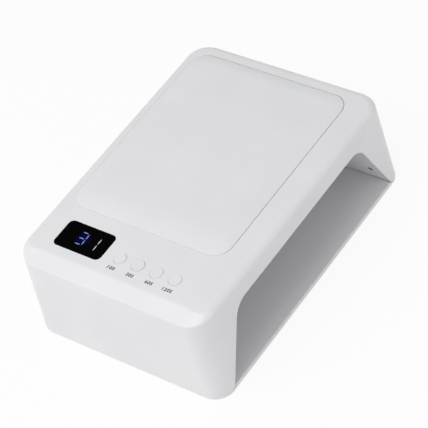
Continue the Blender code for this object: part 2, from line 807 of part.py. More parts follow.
def build_screws():
    turned_down = Matrix.Rotation(math.pi, 4, "X")
    groups = (
        ("liner_screw", LINER_SCREW_LENGTH, [at(x, y, CUP_SEAT - GAP) for x, y in POSTS]),
        (
            "control_board_screw",
            BOARD_SCREW_LENGTH - GAP,
            [at(x, y, CONTROL_BOARD_TOP - BOARD_THICKNESS - GAP) for x, y in CONTROL_SCREWS],
        ),
        (
            "driver_board_screw",
            BOARD_SCREW_LENGTH - GAP,
            [backwards(x, DRIVER_FRONT - GAP, z) for x, z in DRIVER_SCREWS],
        ),
        (
            "led_board_screw",
            LED_BOARD_TOP - LINER_TOP - GAP,
            [at(x, y, LED_BOARD_TOP + GAP) @ turned_down for x, y in ceiling_screws()],
        ),
    )
    for name, length, places in groups:
        for number, place in enumerate(places, 1):
            bm = bmesh.new()
            add_screw(bm, length, place)
            finish(f"{name}_{number}", bm, steel())


def ceiling_leds():
    pitch_x = (CEILING_X[1] - CEILING_X[0]) / CEILING_LED_ROWS
    pitch_y = (LED_Y[1] - LED_Y[0]) / CEILING_LED_COLUMNS
    return [
        (CEILING_X[0] + pitch_x * (row + 1 / 2), LED_Y[0] + pitch_y * (column + 1 / 2))
        for row in range(CEILING_LED_ROWS)
        for column in range(CEILING_LED_COLUMNS)
    ]


def ceiling_screws():
    pitch_x = (CEILING_X[1] - CEILING_X[0]) / CEILING_LED_ROWS
    middle = LED_Y[0] + (LED_Y[1] - LED_Y[0]) * CEILING_SCREW_BACK_SHARE
    return [(CEILING_X[0] + pitch_x, middle), (CEILING_X[1] - pitch_x, middle)]


def slope_leds():
    """LED places on a slanted board, in the local frame at the board's lower edge."""
    pitch_up = SLOPE_BOARD_HEIGHT / SLOPE_LED_ROWS
    pitch_y = (LED_Y[1] - LED_Y[0]) / CEILING_LED_COLUMNS
    return [
        (pitch_up * (row + 1 / 2), LED_Y[0] + pitch_y * (column + 1 / 2))
        for row in range(SLOPE_LED_ROWS)
        for column in range(CEILING_LED_COLUMNS)
    ]


def slope_place(side, up, y):
    """The local frame of a point on the slanted wall, up the slope from the board's lower edge."""
    return slope_frame(side, y, SLOPE_BOARD_Z + up * math.cos(LEAN))


def add_lens(bm, place):
    """A lens that reaches from its plate through the liner, towards local -Z, with a rounded end."""
    profile = (
        (LENS_RADIUS - LENS_ROUND, -LENS_STANDS),
        (LENS_RADIUS - LENS_ROUND / 4, -LENS_STANDS + LENS_ROUND / 2),
        (LENS_RADIUS, LINER_WALL / 2),
        (LENS_RADIUS, LINER_WALL + GAP + LENS_PLATE / 2),
    )
    add_turned(bm, profile, LENS_ROUND_STEPS, place)


def build_ceiling_lights():
    """The LED board over the cavity's ceiling, and the plate whose lenses pass through the liner."""
    bm = bmesh.new()
    add_box(
        bm,
        (CEILING_X[0], LED_Y[0], LENS_PLATE_BOTTOM),
        (CEILING_X[1], LED_Y[1], LENS_PLATE_BOTTOM + LENS_PLATE),
    )
    lenses = finish("lens_plate_ceiling", bm, clear_lens())
    bm = bmesh.new()
    for x, y in ceiling_leds():
        add_lens(bm, at(x, y, CEILING))
    join(lenses, bm)
    bm = bmesh.new()
    for x, y in ceiling_screws():
        add_cylinder(bm, BOSS_RADIUS + GAP, LINER_TOP, LED_BOARD_BOTTOM, SMALL_ROUND, at(x, y))
    cut(lenses, bm)

    bm = bmesh.new()
    add_box(bm, (CEILING_X[0], LED_Y[0], LED_BOARD_BOTTOM), (CEILING_X[1], LED_Y[1], LED_BOARD_TOP))
    board = finish("led_board_ceiling", bm, board_metal())
    bm = bmesh.new()
    half = LED_SIDE / 2
    for x, y in ceiling_leds():
        high = LED_BOARD_BOTTOM + BOARD_THICKNESS / 2
        add_box(bm, (x - half, y - half, LED_BOTTOM), (x + half, y + half, high))
    join(board, bm)
    bm = bmesh.new()
    for x, y in ceiling_screws():
        low = LED_BOARD_BOTTOM - OVERRUN
        add_cylinder(bm, SCREW_RADIUS + GAP, low, LED_BOARD_TOP + OVERRUN, SMALL_ROUND, at(x, y))
    cut(board, bm)


def build_slope_lights(name, side):
    """The LED board and lens plate on one slanted end of the liner."""
    frame = slope_frame(side, 0.0, SLOPE_BOARD_Z)
    flip = -side
    lens_low = LINER_WALL + GAP
    led_low = lens_low + LENS_PLATE + GAP
    board_low = led_low + LED_HEIGHT
    reach = sorted((flip * LED_Y[0], flip * LED_Y[1]))
    bm = bmesh.new()
    add_box(bm, (0.0, reach[0], lens_low), (SLOPE_BOARD_HEIGHT, reach[1], lens_low + LENS_PLATE), frame)
    lenses = finish("lens_plate_" + name, bm, clear_lens())
    bm = bmesh.new()
    for up, y in slope_leds():
        add_lens(bm, slope_place(side, up, y))
    join(lenses, bm)

    bm = bmesh.new()
    board_high = board_low + BOARD_THICKNESS
    add_box(bm, (0.0, reach[0], board_low), (SLOPE_BOARD_HEIGHT, reach[1], board_high), frame)
    board = finish("led_board_" + name, bm, board_metal())
    bm = bmesh.new()
    half = LED_SIDE / 2
    for up, y in slope_leds():
        place = slope_place(side, up, y)
        add_box(bm, (-half, -half, led_low), (half, half, board_low + BOARD_THICKNESS / 2), place)
    join(board, bm)


def build_liner():
    """The lining of the hand cavity, with a flange all round that stands on the base plate."""
    front_gap = SIDE_WALL + GAP
    bm = bmesh.new()
    add_arch_prism(
        bm,
        FLANGE_BOTTOM + FLANGE_THICKNESS / 2,
        LINER_WALL,
        CORNER_STEPS,
        lambda z: front_face(z) + front_gap,
        lambda z: CAVITY_BACK + LINER_WALL,
    )
    liner = finish("cavity_liner", bm, liner_plastic())

    bm = bmesh.new()
    inset = SIDE_WALL + SLIDE_GAP
    add_loft(
        bm,
        [
            housing_outline(FLANGE_BOTTOM, inset, INNER_CORNER_STEPS),
            housing_outline(FLANGE_BOTTOM + FLANGE_THICKNESS, inset, INNER_CORNER_STEPS),
        ],
    )
    join(liner, bm)
    magnet_top = FLANGE_BOTTOM + GAP + MAGNET_HEIGHT
    bm = bmesh.new()
    for x, y in POSTS:
        add_cylinder(bm, CUP_RADIUS, FLANGE_BOTTOM + WELD, FLANGE_BOTTOM + CUP_HEIGHT, ROUND, at(x, y))
    for x, y in MAGNETS:
        high = magnet_top + GAP + MAGNET_WALL
        add_cylinder(bm, MAGNET_RADIUS + GAP + MAGNET_WALL, FLANGE_BOTTOM + WELD, high, ROUND, at(x, y))
    for x, y in ceiling_screws():
        add_cylinder(bm, BOSS_RADIUS, LINER_TOP - WELD, LED_BOARD_BOTTOM - GAP, SMALL_ROUND, at(x, y))
    join(liner, bm)

    bm = bmesh.new()
    add_arch_prism(
        bm,
        FLANGE_BOTTOM - OVERRUN,
        0.0,
        CORNER_STEPS,
        lambda z: -HALF_WIDTH - OVERRUN,
        lambda z: CAVITY_BACK,
    )
    cut(liner, bm)

    bm = bmesh.new()
    hole = LENS_RADIUS + GAP
    for x, y in ceiling_leds():
        add_cylinder(bm, hole, CEILING - WELD, LINER_TOP + WELD, LENS_ROUND_STEPS, at(x, y))
    for side in (-1, 1):
        for up, y in slope_leds():
            place = slope_place(side, up, y)
            add_cylinder(bm, hole, -WELD, LINER_WALL + WELD, LENS_ROUND_STEPS, place)
        place = slope_frame(side, EYE_Y, EYE_Z)
        add_cylinder(bm, EYE_RADIUS + GAP, -WELD, LINER_WALL + WELD, SMALL_ROUND, place)
    for x, y in ceiling_screws():
        low = LINER_TOP
        add_cylinder(bm, SCREW_RADIUS + GAP, low, LED_BOARD_BOTTOM + WELD, SMALL_ROUND, at(x, y))
    for x, y in POSTS:
        profile = (
            (SCREW_HEAD_RADIUS + GAP, FLANGE_BOTTOM - OVERRUN),
            (SCREW_HEAD_RADIUS + GAP, CUP_SEAT),
            (SCREW_RADIUS + GAP, CUP_SEAT),
            (SCREW_RADIUS + GAP, POST_BOTTOM + WELD),
        )
        add_turned(bm, profile, SMALL_ROUND, at(x, y))
    for x, y in MAGNETS:
        low = FLANGE_BOTTOM - OVERRUN
        add_cylinder(bm, MAGNET_RADIUS + GAP, low, magnet_top + GAP, ROUND, at(x, y))
    cut(liner, bm)


def build_magnets_and_discs():
    for number, (x, y) in enumerate(MAGNETS, 1):
        low = FLANGE_BOTTOM + GAP
        bm = bmesh.new()
        add_cylinder(bm, MAGNET_RADIUS, low, low + MAGNET_HEIGHT, ROUND, at(x, y))
        finish(f"magnet_{number}", bm, steel())
        bm = bmesh.new()
        add_cylinder(bm, DISC_RADIUS, FLOOR - DISC_THICKNESS, FLOOR, ROUND, at(x, y))
        finish(f"steel_disc_{number}", bm, steel())


def sheet_outline(out):
    front = front_face(FLOOR) + SHEET_LIP - out
    half = FLOOR_HALF - GAP + out
    return (-half, front), (half, CAVITY_BACK - GAP + out)


def build_base_plate():
    """The plate that the housing stands on; its front edge fills the foot of the opening."""
    inset = SIDE_WALL + SLIDE_GAP
    bm = bmesh.new()
    add_loft(
        bm,
        [housing_outline(z, inset, INNER_CORNER_STEPS) for z in (FOOT_STAND, FLOOR)],
    )
    plate = finish("base_plate", bm, white_plastic())
    bm = bmesh.new()
    low_half = slope_x(FOOT_STAND, -SLIDE_GAP)
    high_half = slope_x(FLOOR, -SLIDE_GAP)
    tongue_back = -HALF_WIDTH + SIDE_WALL + OVERRUN
    outline = ((low_half, FOOT_STAND), (high_half, FLOOR), (-high_half, FLOOR), (-low_half, FOOT_STAND))
    add_loft(
        bm,
        [[(x, front_face(z), z) for x, z in outline], [(x, tongue_back, z) for x, z in outline]],
    )
    join(plate, bm)
    bm = bmesh.new()
    low, high = sheet_outline(GAP)
    add_box(bm, (*low, FLOOR - SHEET_THICKNESS - GAP), (*high, FLOOR + OVERRUN))
    for x, y in MAGNETS:
        pocket = FLOOR - DISC_THICKNESS - GAP
        add_cylinder(bm, DISC_RADIUS + GAP, pocket, FLOOR + OVERRUN, ROUND, at(x, y))
    for x, y in foot_places():
        add_cylinder(bm, FOOT_RADIUS + GAP, FOOT_STAND - OVERRUN, FOOT_THICKNESS + GAP, ROUND, at(x, y))
    cut(plate, bm)

    bm = bmesh.new()
    low, high = sheet_outline(0.0)
    add_box(bm, (*low, FLOOR - SHEET_THICKNESS), (*high, FLOOR))
    finish("floor_sheet", bm, material("floor_metal", (0.80, 0.80, 0.81), 0.4))


def foot_places():
    return [
        (side_x * (HALF_LENGTH - FOOT_FROM_END), side_y * (HALF_WIDTH - FOOT_FROM_SIDE))
        for side_x in (-1, 1)
        for side_y in (-1, 1)
    ]


def build_feet():
    for number, (x, y) in enumerate(foot_places(), 1):
        bm = bmesh.new()
        profile = (
            (FOOT_RADIUS - FOOT_STAND / 2, 0.0),
            (FOOT_RADIUS, FOOT_STAND / 2),
            (FOOT_RADIUS, FOOT_THICKNESS),
        )
        add_turned(bm, profile, ROUND, at(x, y))
        finish(f"foot_{number}", bm, rubber())


def build_driver_board():
    """The board on the back wall, with its coil, capacitor and heat sink standing towards the liner."""
    bm = bmesh.new()
    add_box(bm, (DRIVER_X[0], DRIVER_FRONT, DRIVER_Z[0]), (DRIVER_X[1], DRIVER_BACK, DRIVER_Z[1]))
    board = finish("driver_board", bm, board_green())
    middle = (DRIVER_Z[0] + DRIVER_Z[1]) / 2
    quarter = DRIVER_LENGTH / 4
    inside = DRIVER_FRONT + BOARD_THICKNESS / 2
    bm = bmesh.new()
    coil = backwards(DRIVER_X[0] + quarter, 0.0, middle)
    add_cylinder(bm, COIL_RADIUS, DRIVER_FRONT - COIL_HEIGHT, inside, ROUND, coil)
    capacitor = backwards(DRIVER_X[0] + 2 * quarter, 0.0, middle)
    add_cylinder(bm, CAPACITOR_RADIUS, DRIVER_FRONT - CAPACITOR_LENGTH, inside, ROUND, capacitor)
    sink_x = DRIVER_X[0] + 3 * quarter
    add_box(
        bm,
        (sink_x - HEAT_SINK_LENGTH / 2, DRIVER_FRONT - HEAT_SINK_DEPTH, middle - HEAT_SINK_HEIGHT / 2),
        (sink_x + HEAT_SINK_LENGTH / 2, inside, middle + HEAT_SINK_HEIGHT / 2),
    )
    join(board, bm)
    bm = bmesh.new()
    for x, z in DRIVER_SCREWS:
        add_cylinder(
            bm,
            SCREW_RADIUS + GAP,
            DRIVER_FRONT - OVERRUN,
            DRIVER_BACK + OVERRUN,
            SMALL_ROUND,
            backwards(x, 0.0, z),
        )
    cut(board, bm)


def build_inlet():
    """The power inlet: a block behind the back wall, with a barrel that ends flush with its outer face."""
    body_front = INLET_BODY_BACK - INLET_DEPTH
    bm = bmesh.new()
    add_box(
        bm,
        (INLET_X - INLET_WIDTH / 2, body_front, INLET_Z - INLET_HEIGHT / 2),
        (INLET_X + INLET_WIDTH / 2, INLET_BODY_BACK, INLET_Z + INLET_HEIGHT / 2),
    )
    inlet = finish("dc_inlet", bm, black_plastic())
    place = backwards(INLET_X, 0.0, INLET_Z)
    bore_end = INLET_FACE - INLET_BORE_DEPTH
    bm = bmesh.new()
    add_cylinder(bm, INLET_BARREL, INLET_BODY_BACK - WELD, INLET_FACE - SIDE_FLARE / 4, ROUND, place)
    join(inlet, bm)
    bm = bmesh.new()
    add_cylinder(bm, INLET_BORE, bore_end, INLET_FACE + OVERRUN, ROUND, place)
    cut(inlet, bm)
    bm = bmesh.new()
    add_cylinder(bm, INLET_PIN, bore_end - WELD, INLET_FACE - WELD, SMALL_ROUND, place)
    join(inlet, bm)


def build_eyes():
    """The emitter and the receiver that see a hand between the slanted walls."""
    for name, side in (("ir_emitter", -1), ("ir_receiver", 1)):
        place = slope_frame(side, EYE_Y, EYE_Z)
        flange = LINER_WALL + GAP
        profile = (
            (EYE_RADIUS, EYE_SUNK),
            (EYE_RADIUS, flange),
            (EYE_FLANGE, flange),
            (EYE_FLANGE, flange + EYE_FLANGE_THICKNESS),
            (EYE_RADIUS, flange + EYE_FLANGE_THICKNESS),
            (EYE_RADIUS, EYE_LENGTH),
        )
        bm = bmesh.new()
        add_turned(bm, profile, SMALL_ROUND, place)
        finish(name, bm, black_plastic())


def smooth_route(points, count):
    """Points along a Catmull-Rom curve through the route's inner points, with a straight run at each end."""
    route = [Vector(point) for point in points]
    spans = len(route) - 3
    walked = [route[0]]
    for step in range(count + 1):
        place = spans * step / count
        span = min(int(place), spans - 1)
        part = place - span
        before, start, end, after = route[span : span + 4]
        walked.append(
            start
            + (end - before) * (part / 2)
            + (before * 2 - start * 5 + end * 4 - after) * (part**2 / 2)
            + (start * 3 - before - end * 3 + after) * (part**3 / 2)
        )
    walked.append(route[-1])
    return walked


def build_lead(name, route, radius, colour):
    """A lead as a tube on a curve through its route, with flat ends."""
    curve = bpy.data.curves.new(name, "CURVE")
    curve.dimensions = "3D"
    curve.bevel_depth = radius
    curve.bevel_resolution = 2
    curve.use_fill_caps = True
    walked = smooth_route(route, LEAD_POINTS * (len(route) - 3))
    spline = curve.splines.new("POLY")
    spline.points.add(len(walked) - 1)
    for point, place in zip(spline.points, walked):
        point.co = (*place, 1.0)
    curve.materials.append(material("lead_" + name, colour, 0.5))
    bpy.context.scene.collection.objects.link(bpy.data.objects.new(name, curve))


def build_leads():
    """The leads that join the inlet, the driver board, the control board and the LED boards."""
    driver_y = (DRIVER_FRONT + DRIVER_BACK) / 2
    inlet_side = INLET_X + INLET_WIDTH / 2 + GAP
    driver_side = DRIVER_X[0] - GAP
    inlet_y = INLET_BODY_BACK - INLET_DEPTH / 2
    low_z = DRIVER_Z[0] + COIL_RADIUS
    build_lead(
        "inlet_lead",
        (
            (inlet_side, inlet_y, INLET_Z),
            (inlet_side + LEAD_STUB, inlet_y, INLET_Z),
            ((inlet_side + driver_side) / 2, (inlet_y + driver_y) / 2, (INLET_Z + low_z) / 2 - LEAD_STUB),
            (driver_side - LEAD_STUB, driver_y, low_z),
            (driver_side, driver_y, low_z),
        ),
        INLET_LEAD_RADIUS,
        (0.02, 0.02, 0.02),
    )

    over_liner = LINER_TOP + LEAD_LIFT
    back_run = (LED_Y[1] + CAVITY_BACK) / 2
    driver_top = DRIVER_Z[1] + GAP
    control_side = CONTROL_BOARD_X[1] + GAP
    board_middle = CONTROL_BOARD_TOP - BOARD_THICKNESS / 2
    start_x = DRIVER_X[0] + COIL_RADIUS
    build_lead(
        "control_lead",
        (
            (start_x, driver_y, driver_top),
            (start_x, driver_y, driver_top + LEAD_STUB),
            (start_x - LEAD_STUB, (driver_y + back_run) / 2 + LEAD_STUB / 2, over_liner + LEAD_STUB / 2),
            (start_x - 4 * LEAD_STUB, back_run, over_liner),
            ((start_x + control_side) / 2, back_run, over_liner),
            (control_side + 2 * LEAD_STUB, back_run, over_liner + LEAD_LIFT / 2),
            (control_side + LEAD_STUB / 2, back_run, board_middle),
            (control_side, back_run, board_middle),
        ),
        LEAD_RADIUS,
        (0.65, 0.65, 0.66),
    )

    led_middle = LED_BOARD_BOTTOM + BOARD_THICKNESS / 2
    start_x = DRIVER_X[0] + DRIVER_LENGTH / 2
    build_lead(
        "led_lead_ceiling",
        (
            (start_x, driver_y, driver_top),
            (start_x, driver_y, driver_top + LEAD_STUB),
            (start_x, (driver_y + back_run) / 2 + LEAD_STUB / 2, over_liner + LEAD_STUB / 2),
            (start_x, back_run, led_middle),
            (start_x, LED_Y[1] + LEAD_STUB / 2, led_middle),
            (start_x, LED_Y[1] + GAP, led_middle),
        ),
        LEAD_RADIUS,
        (0.55, 0.02, 0.02),
    )

    board_low = LINER_WALL + GAP + LENS_PLATE + GAP + LED_HEIGHT
    slope_middle = board_low + BOARD_THICKNESS / 2
    lead_y = (LED_Y[0] + LED_Y[1]) / 2 + LEAD_STUB
    for name, side in (("near", -1), ("far", 1)):
        frame = slope_frame(side, lead_y, SLOPE_BOARD_Z)
        board_end = frame @ Vector((SLOPE_BOARD_HEIGHT + GAP, 0.0, slope_middle))
        before_end = frame @ Vector((SLOPE_BOARD_HEIGHT + LEAD_STUB / 2, 0.0, slope_middle))
        over_corner = LINER_WALL + LEAD_RADIUS + 2 * GAP
        high_x, high_z = shoulder(HIGH_CORNER_SHARE, over_corner)
        low_x, low_z = shoulder(LOW_CORNER_SHARE, over_corner)
        ceiling_end = side * (CEILING_X[1] + GAP)
        build_lead(
            "led_lead_" + name,
            (
                (ceiling_end, lead_y, led_middle),
                (ceiling_end + side * LEAD_STUB / 3, lead_y, led_middle),
                (side * high_x, lead_y, high_z),
                (side * low_x, lead_y, low_z),
                before_end,
                board_end,
            ),
            LEAD_RADIUS,
            (0.55, 0.02, 0.02),
        )


remove_startup_objects()
build_housing()
build_hand_rest()
build_window()
build_display_module()
build_control_board()
build_buttons()
build_liner()
build_ceiling_lights()
build_slope_lights("near", -1)
build_slope_lights("far", 1)
build_magnets_and_discs()
build_base_plate()
build_feet()
build_driver_board()
build_inlet()
build_eyes()
build_screws()
build_leads()
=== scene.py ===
import math

import bmesh
import bpy
from mathutils import Matrix, Vector


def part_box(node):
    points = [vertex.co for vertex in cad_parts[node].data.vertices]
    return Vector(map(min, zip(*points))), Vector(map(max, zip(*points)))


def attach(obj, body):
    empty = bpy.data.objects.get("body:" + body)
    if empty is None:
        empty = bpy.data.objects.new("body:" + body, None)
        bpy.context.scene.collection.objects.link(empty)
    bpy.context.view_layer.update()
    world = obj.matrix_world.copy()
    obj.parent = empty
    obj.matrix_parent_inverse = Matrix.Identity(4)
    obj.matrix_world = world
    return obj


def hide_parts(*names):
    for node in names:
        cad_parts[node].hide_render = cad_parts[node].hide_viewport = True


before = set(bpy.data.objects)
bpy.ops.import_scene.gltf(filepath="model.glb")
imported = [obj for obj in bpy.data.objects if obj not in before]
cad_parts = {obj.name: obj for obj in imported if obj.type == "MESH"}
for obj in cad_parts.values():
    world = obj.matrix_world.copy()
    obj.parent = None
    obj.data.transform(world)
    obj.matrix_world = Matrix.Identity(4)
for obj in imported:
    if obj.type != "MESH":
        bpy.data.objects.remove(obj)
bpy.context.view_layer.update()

# The photographer's table: a white sweep under the object and a long lens that looks down over the corner
# between the control end and the hand opening. One large soft lamp stands high over the control end, a
# weak one low behind that end and another low in front of the opening.
MM = 0.001
CAMERA_PLACE = (-0.7396, -0.7910, 1.1368)
CAMERA_TURN = (43.342, 11.856, -55.440)
CAMERA_LENS = 166.28
CAMERA_SENSOR = 36.0
SWEEP_SIZE = 6.0
SWEEP_WHITE = (0.92, 0.92, 0.92, 1.0)
SWEEP_ROUGHNESS = 0.9
SWEEP_GLOW_SHARE = 0.9
ROOM_LIGHT = (0.985, 0.99, 1.0, 1.0)
ROOM_SEEN = (1.0, 1.0, 1.0, 1.0)
ROOM_STRENGTH = 0.53
KEY_PLACE = (-0.60, 0.12, 0.99)
KEY_SIZE = 0.9
KEY_POWER = 5.5
FILL_PLACE = (0.40, -1.25, 0.50)
FILL_SIZE = 1.0
FILL_POWER = 2.2
SIDE_PLACE = (-1.15, 0.65, 0.16)
SIDE_SIZE = 0.8
SIDE_POWER = 1.8
LAMP_AIM = Vector((0.0, 0.0, 40 * MM))


def wire(tree, source, output, target, socket):
    """One link between two nodes of a tree."""
    tree.links.new(source.outputs[output], target.inputs[socket])


def any_seen_ray(tree):
    """A node whose output is 1 for camera, glossy and transmission rays, which see the background."""
    path = tree.nodes.new("ShaderNodeLightPath")
    glossy = tree.nodes.new("ShaderNodeMath")
    glossy.operation = "MAXIMUM"
    wire(tree, path, "Is Camera Ray", glossy, 0)
    wire(tree, path, "Is Glossy Ray", glossy, 1)
    through = tree.nodes.new("ShaderNodeMath")
    through.operation = "MAXIMUM"
    wire(tree, glossy, 0, through, 0)
    wire(tree, path, "Is Transmission Ray", through, 1)
    return through


def add_lamp(name, place, size, power):
    """A square soft lamp that points at the middle of the object."""
    data = bpy.data.lights.new(name, "AREA")
    data.size = size
    data.energy = power
    lamp = bpy.data.objects.new(name, data)
    lamp.location = place
    lamp.rotation_euler = (LAMP_AIM - Vector(place)).to_track_quat("-Z", "Y").to_euler()
    bpy.context.scene.collection.objects.link(lamp)


camera_data = bpy.data.cameras.new("camera")
camera_data.lens = CAMERA_LENS
camera_data.sensor_width = CAMERA_SENSOR
camera = bpy.data.objects.new("camera", camera_data)
camera.location = CAMERA_PLACE
camera.rotation_euler = [math.radians(turn) for turn in CAMERA_TURN]
bpy.context.scene.collection.objects.link(camera)
bpy.context.scene.camera = camera
bpy.context.scene.view_settings.view_transform = "Standard"

add_lamp("key_lamp", KEY_PLACE, KEY_SIZE, KEY_POWER)
add_lamp("fill_lamp", FILL_PLACE, FILL_SIZE, FILL_POWER)
add_lamp("side_lamp", SIDE_PLACE, SIDE_SIZE, SIDE_POWER)

room = bpy.data.worlds.new("room")
bpy.context.scene.world = room
room.use_nodes = True
tree = room.node_tree
ambient = tree.nodes["Background"]
ambient.inputs["Color"].default_value = ROOM_LIGHT
ambient.inputs["Strength"].default_value = ROOM_STRENGTH
seen = tree.nodes.new("ShaderNodeBackground")
seen.inputs["Color"].default_value = ROOM_SEEN
mix = tree.nodes.new("ShaderNodeMixShader")
wire(tree, any_seen_ray(tree), 0, mix, 0)
wire(tree, ambient, 0, mix, 1)
wire(tree, seen, 0, mix, 2)
wire(tree, mix, 0, tree.nodes["World Output"], "Surface")

sweep_white = bpy.data.materials.new("sweep_white")
sweep_white.use_nodes = True
tree = sweep_white.node_tree
paper = tree.nodes["Principled BSDF"]
paper.inputs["Base Color"].default_value = SWEEP_WHITE
paper.inputs["Roughness"].default_value = SWEEP_ROUGHNESS
paper.inputs["Specular IOR Level"].default_value = 0.0
glow = tree.nodes.new("ShaderNodeEmission")
share = tree.nodes.new("ShaderNodeMath")
share.operation = "MULTIPLY"
share.inputs[1].default_value = SWEEP_GLOW_SHARE
wire(tree, any_seen_ray(tree), 0, share, 0)
mix = tree.nodes.new("ShaderNodeMixShader")
wire(tree, share, 0, mix, 0)
wire(tree, paper, 0, mix, 1)
wire(tree, glow, 0, mix, 2)
wire(tree, mix, 0, tree.nodes["Material Output"], "Surface")
bm = bmesh.new()
bmesh.ops.create_grid(bm, x_segments=1, y_segments=1, size=SWEEP_SIZE / 2)
mesh = bpy.data.meshes.new("sweep")
bm.to_mesh(mesh)
bm.free()
mesh.materials.append(sweep_white)
sweep = bpy.data.objects.new("sweep", mesh)
bpy.context.scene.collection.objects.link(sweep)

# Feet: four black rubber rounds with a hollow sole, pressed into pockets under the base plate. They carry
# the lamp's weight and keep it from sliding.
RUBBER_BLACK = (0.028, 0.028, 0.029, 1.0)
RUBBER_WORN = (0.050, 0.049, 0.048, 1.0)
FOOT_EDGE = 0.6 * MM
FOOT_HOLLOW = 0.4 * MM
FOOT_HOLLOW_RADIUS = 4.4 * MM
FOOT_SEGMENTS = 64
EDGE_STEPS = 5
GRAIN_DETAIL = 3.0
GRAIN_SOFTNESS = 0.6
GRAIN_RELIEF = 0.05 * MM
CLOUDS_PER_METRE = 22.0
CLOUD_DETAIL = 2.0
CLOUD_LOW = 0.3
CLOUD_HIGH = 0.7


def grain_group():
    """The surface of moulded goods: fine grain, and a broad, weak change of tone and of gloss."""
    group = bpy.data.node_groups.new("moulded_grain", "ShaderNodeTree")
    face = group.interface
    face.new_socket("Light Tone", in_out="INPUT", socket_type="NodeSocketColor")
    face.new_socket("Dark Tone", in_out="INPUT", socket_type="NodeSocketColor")
    face.new_socket("Grains per Metre", in_out="INPUT", socket_type="NodeSocketFloat")
    face.new_socket("Roughness", in_out="INPUT", socket_type="NodeSocketFloat")
    face.new_socket("Roughness Spread", in_out="INPUT", socket_type="NodeSocketFloat")
    face.new_socket("Tone", in_out="OUTPUT", socket_type="NodeSocketColor")
    face.new_socket("Roughness", in_out="OUTPUT", socket_type="NodeSocketFloat")
    face.new_socket("Height", in_out="OUTPUT", socket_type="NodeSocketFloat")
    entry = group.nodes.new("NodeGroupInput")
    result = group.nodes.new("NodeGroupOutput")
    place = group.nodes.new("ShaderNodeTexCoord")
    fine = group.nodes.new("ShaderNodeTexNoise")
    fine.inputs["Detail"].default_value = GRAIN_DETAIL
    fine.inputs["Roughness"].default_value = GRAIN_SOFTNESS
    wire(group, place, "Object", fine, "Vector")
    wire(group, entry, "Grains per Metre", fine, "Scale")
    broad = group.nodes.new("ShaderNodeTexNoise")
    broad.inputs["Scale"].default_value = CLOUDS_PER_METRE
    broad.inputs["Detail"].default_value = CLOUD_DETAIL
    wire(group, place, "Object", broad, "Vector")
    spread = group.nodes.new("ShaderNodeMapRange")
    spread.inputs["From Min"].default_value = CLOUD_LOW
    spread.inputs["From Max"].default_value = CLOUD_HIGH
    wire(group, broad, 0, spread, "Value")
    gloss = group.nodes.new("ShaderNodeMath")
    gloss.operation = "MULTIPLY_ADD"
    wire(group, spread, "Result", gloss, 0)
    wire(group, entry, "Roughness Spread", gloss, 1)
    wire(group, entry, "Roughness", gloss, 2)
    tone = group.nodes.new("ShaderNodeMix")
    tone.data_type = "RGBA"
    wire(group, spread, "Result", tone, "Factor")
    wire(group, entry, "Light Tone", tone, 6)
    wire(group, entry, "Dark Tone", tone, 7)
    wire(group, tone, 2, result, "Tone")
    wire(group, gloss, 0, result, "Roughness")
    wire(group, fine, 0, result, "Height")
    return group


moulded_grain = grain_group()


def moulded(name, light, dark, grains, roughness, spread, bump):
    """A moulded plastic or rubber: tone and gloss from the grain group, and its grain as a bump."""
    material = bpy.data.materials.new(name)
    material.use_nodes = True
    tree = material.node_tree
    shader = tree.nodes["Principled BSDF"]
    surface = tree.nodes.new("ShaderNodeGroup")
    surface.node_tree = moulded_grain
    surface.inputs["Light Tone"].default_value = light
    surface.inputs["Dark Tone"].default_value = dark
    surface.inputs["Grains per Metre"].default_value = grains
    surface.inputs["Roughness"].default_value = roughness
    surface.inputs["Roughness Spread"].default_value = spread
    relief = tree.nodes.new("ShaderNodeBump")
    relief.inputs["Strength"].default_value = bump
    relief.inputs["Distance"].default_value = GRAIN_RELIEF
    wire(tree, surface, "Tone", shader, "Base Color")
    wire(tree, surface, "Roughness", shader, "Roughness")
    wire(tree, surface, "Height", relief, "Height")
    wire(tree, relief, "Normal", shader, "Normal")
    return material


def arc(centre_radius, centre_height, radius, first, last, steps=EDGE_STEPS):
    """(radius, height) pairs round an arc of a turned profile, between two turns in degrees."""
    turns = [math.radians(first + (last - first) * step / steps) for step in range(steps + 1)]
    return [
        (centre_radius + radius * math.cos(turn), centre_height + radius * math.sin(turn)) for turn in turns
    ]


def add_turned(bm, profile, segments, place):
    """A closed round shape: the profile's (radius, height) pairs spun about the local Z axis."""
    kept = set(bm.verts)
    points = [bm.verts.new((radius, 0.0, height)) for radius, height in profile]
    edges = [bm.edges.new(pair) for pair in zip(points, points[1:])]
    bmesh.ops.spin(
        bm,
        geom=points + edges,
        cent=(0.0, 0.0, 0.0),
        axis=(0.0, 0.0, 1.0),
        angle=2 * math.pi,
        steps=segments,
        use_merge=True,
    )
    made = [point for point in bm.verts if point not in kept]
    bmesh.ops.transform(bm, matrix=place, verts=made)
    bmesh.ops.remove_doubles(bm, verts=made, dist=MM / 1000)


def make_piece(name, bm, material):
    """A new object from closed shapes, with its faces pointing outwards."""
    bmesh.ops.recalc_face_normals(bm, faces=bm.faces)
    mesh = bpy.data.meshes.new(name)
    bm.to_mesh(mesh)
    bm.free()
    for note in ("home", "out"):
        if note in mesh.attributes:
            mesh.attributes.remove(mesh.attributes[note])
    mesh.materials.append(material)
    piece = bpy.data.objects.new(name, mesh)
    bpy.context.scene.collection.objects.link(piece)
    return piece


def smooth(piece, crease=32):
    """Round faces shade round, flat ones flat, and edges sharper than the crease in degrees stay crisp."""
    piece.data.shade_smooth()
    piece.data.set_sharp_from_angle(angle=math.radians(crease))
    weighted = piece.modifiers.new("weighted_normals", "WEIGHTED_NORMAL")
    weighted.keep_sharp = True


def at(x, y, z=0.0):
    """A move to a place."""
    return Matrix.Translation((x, y, z))


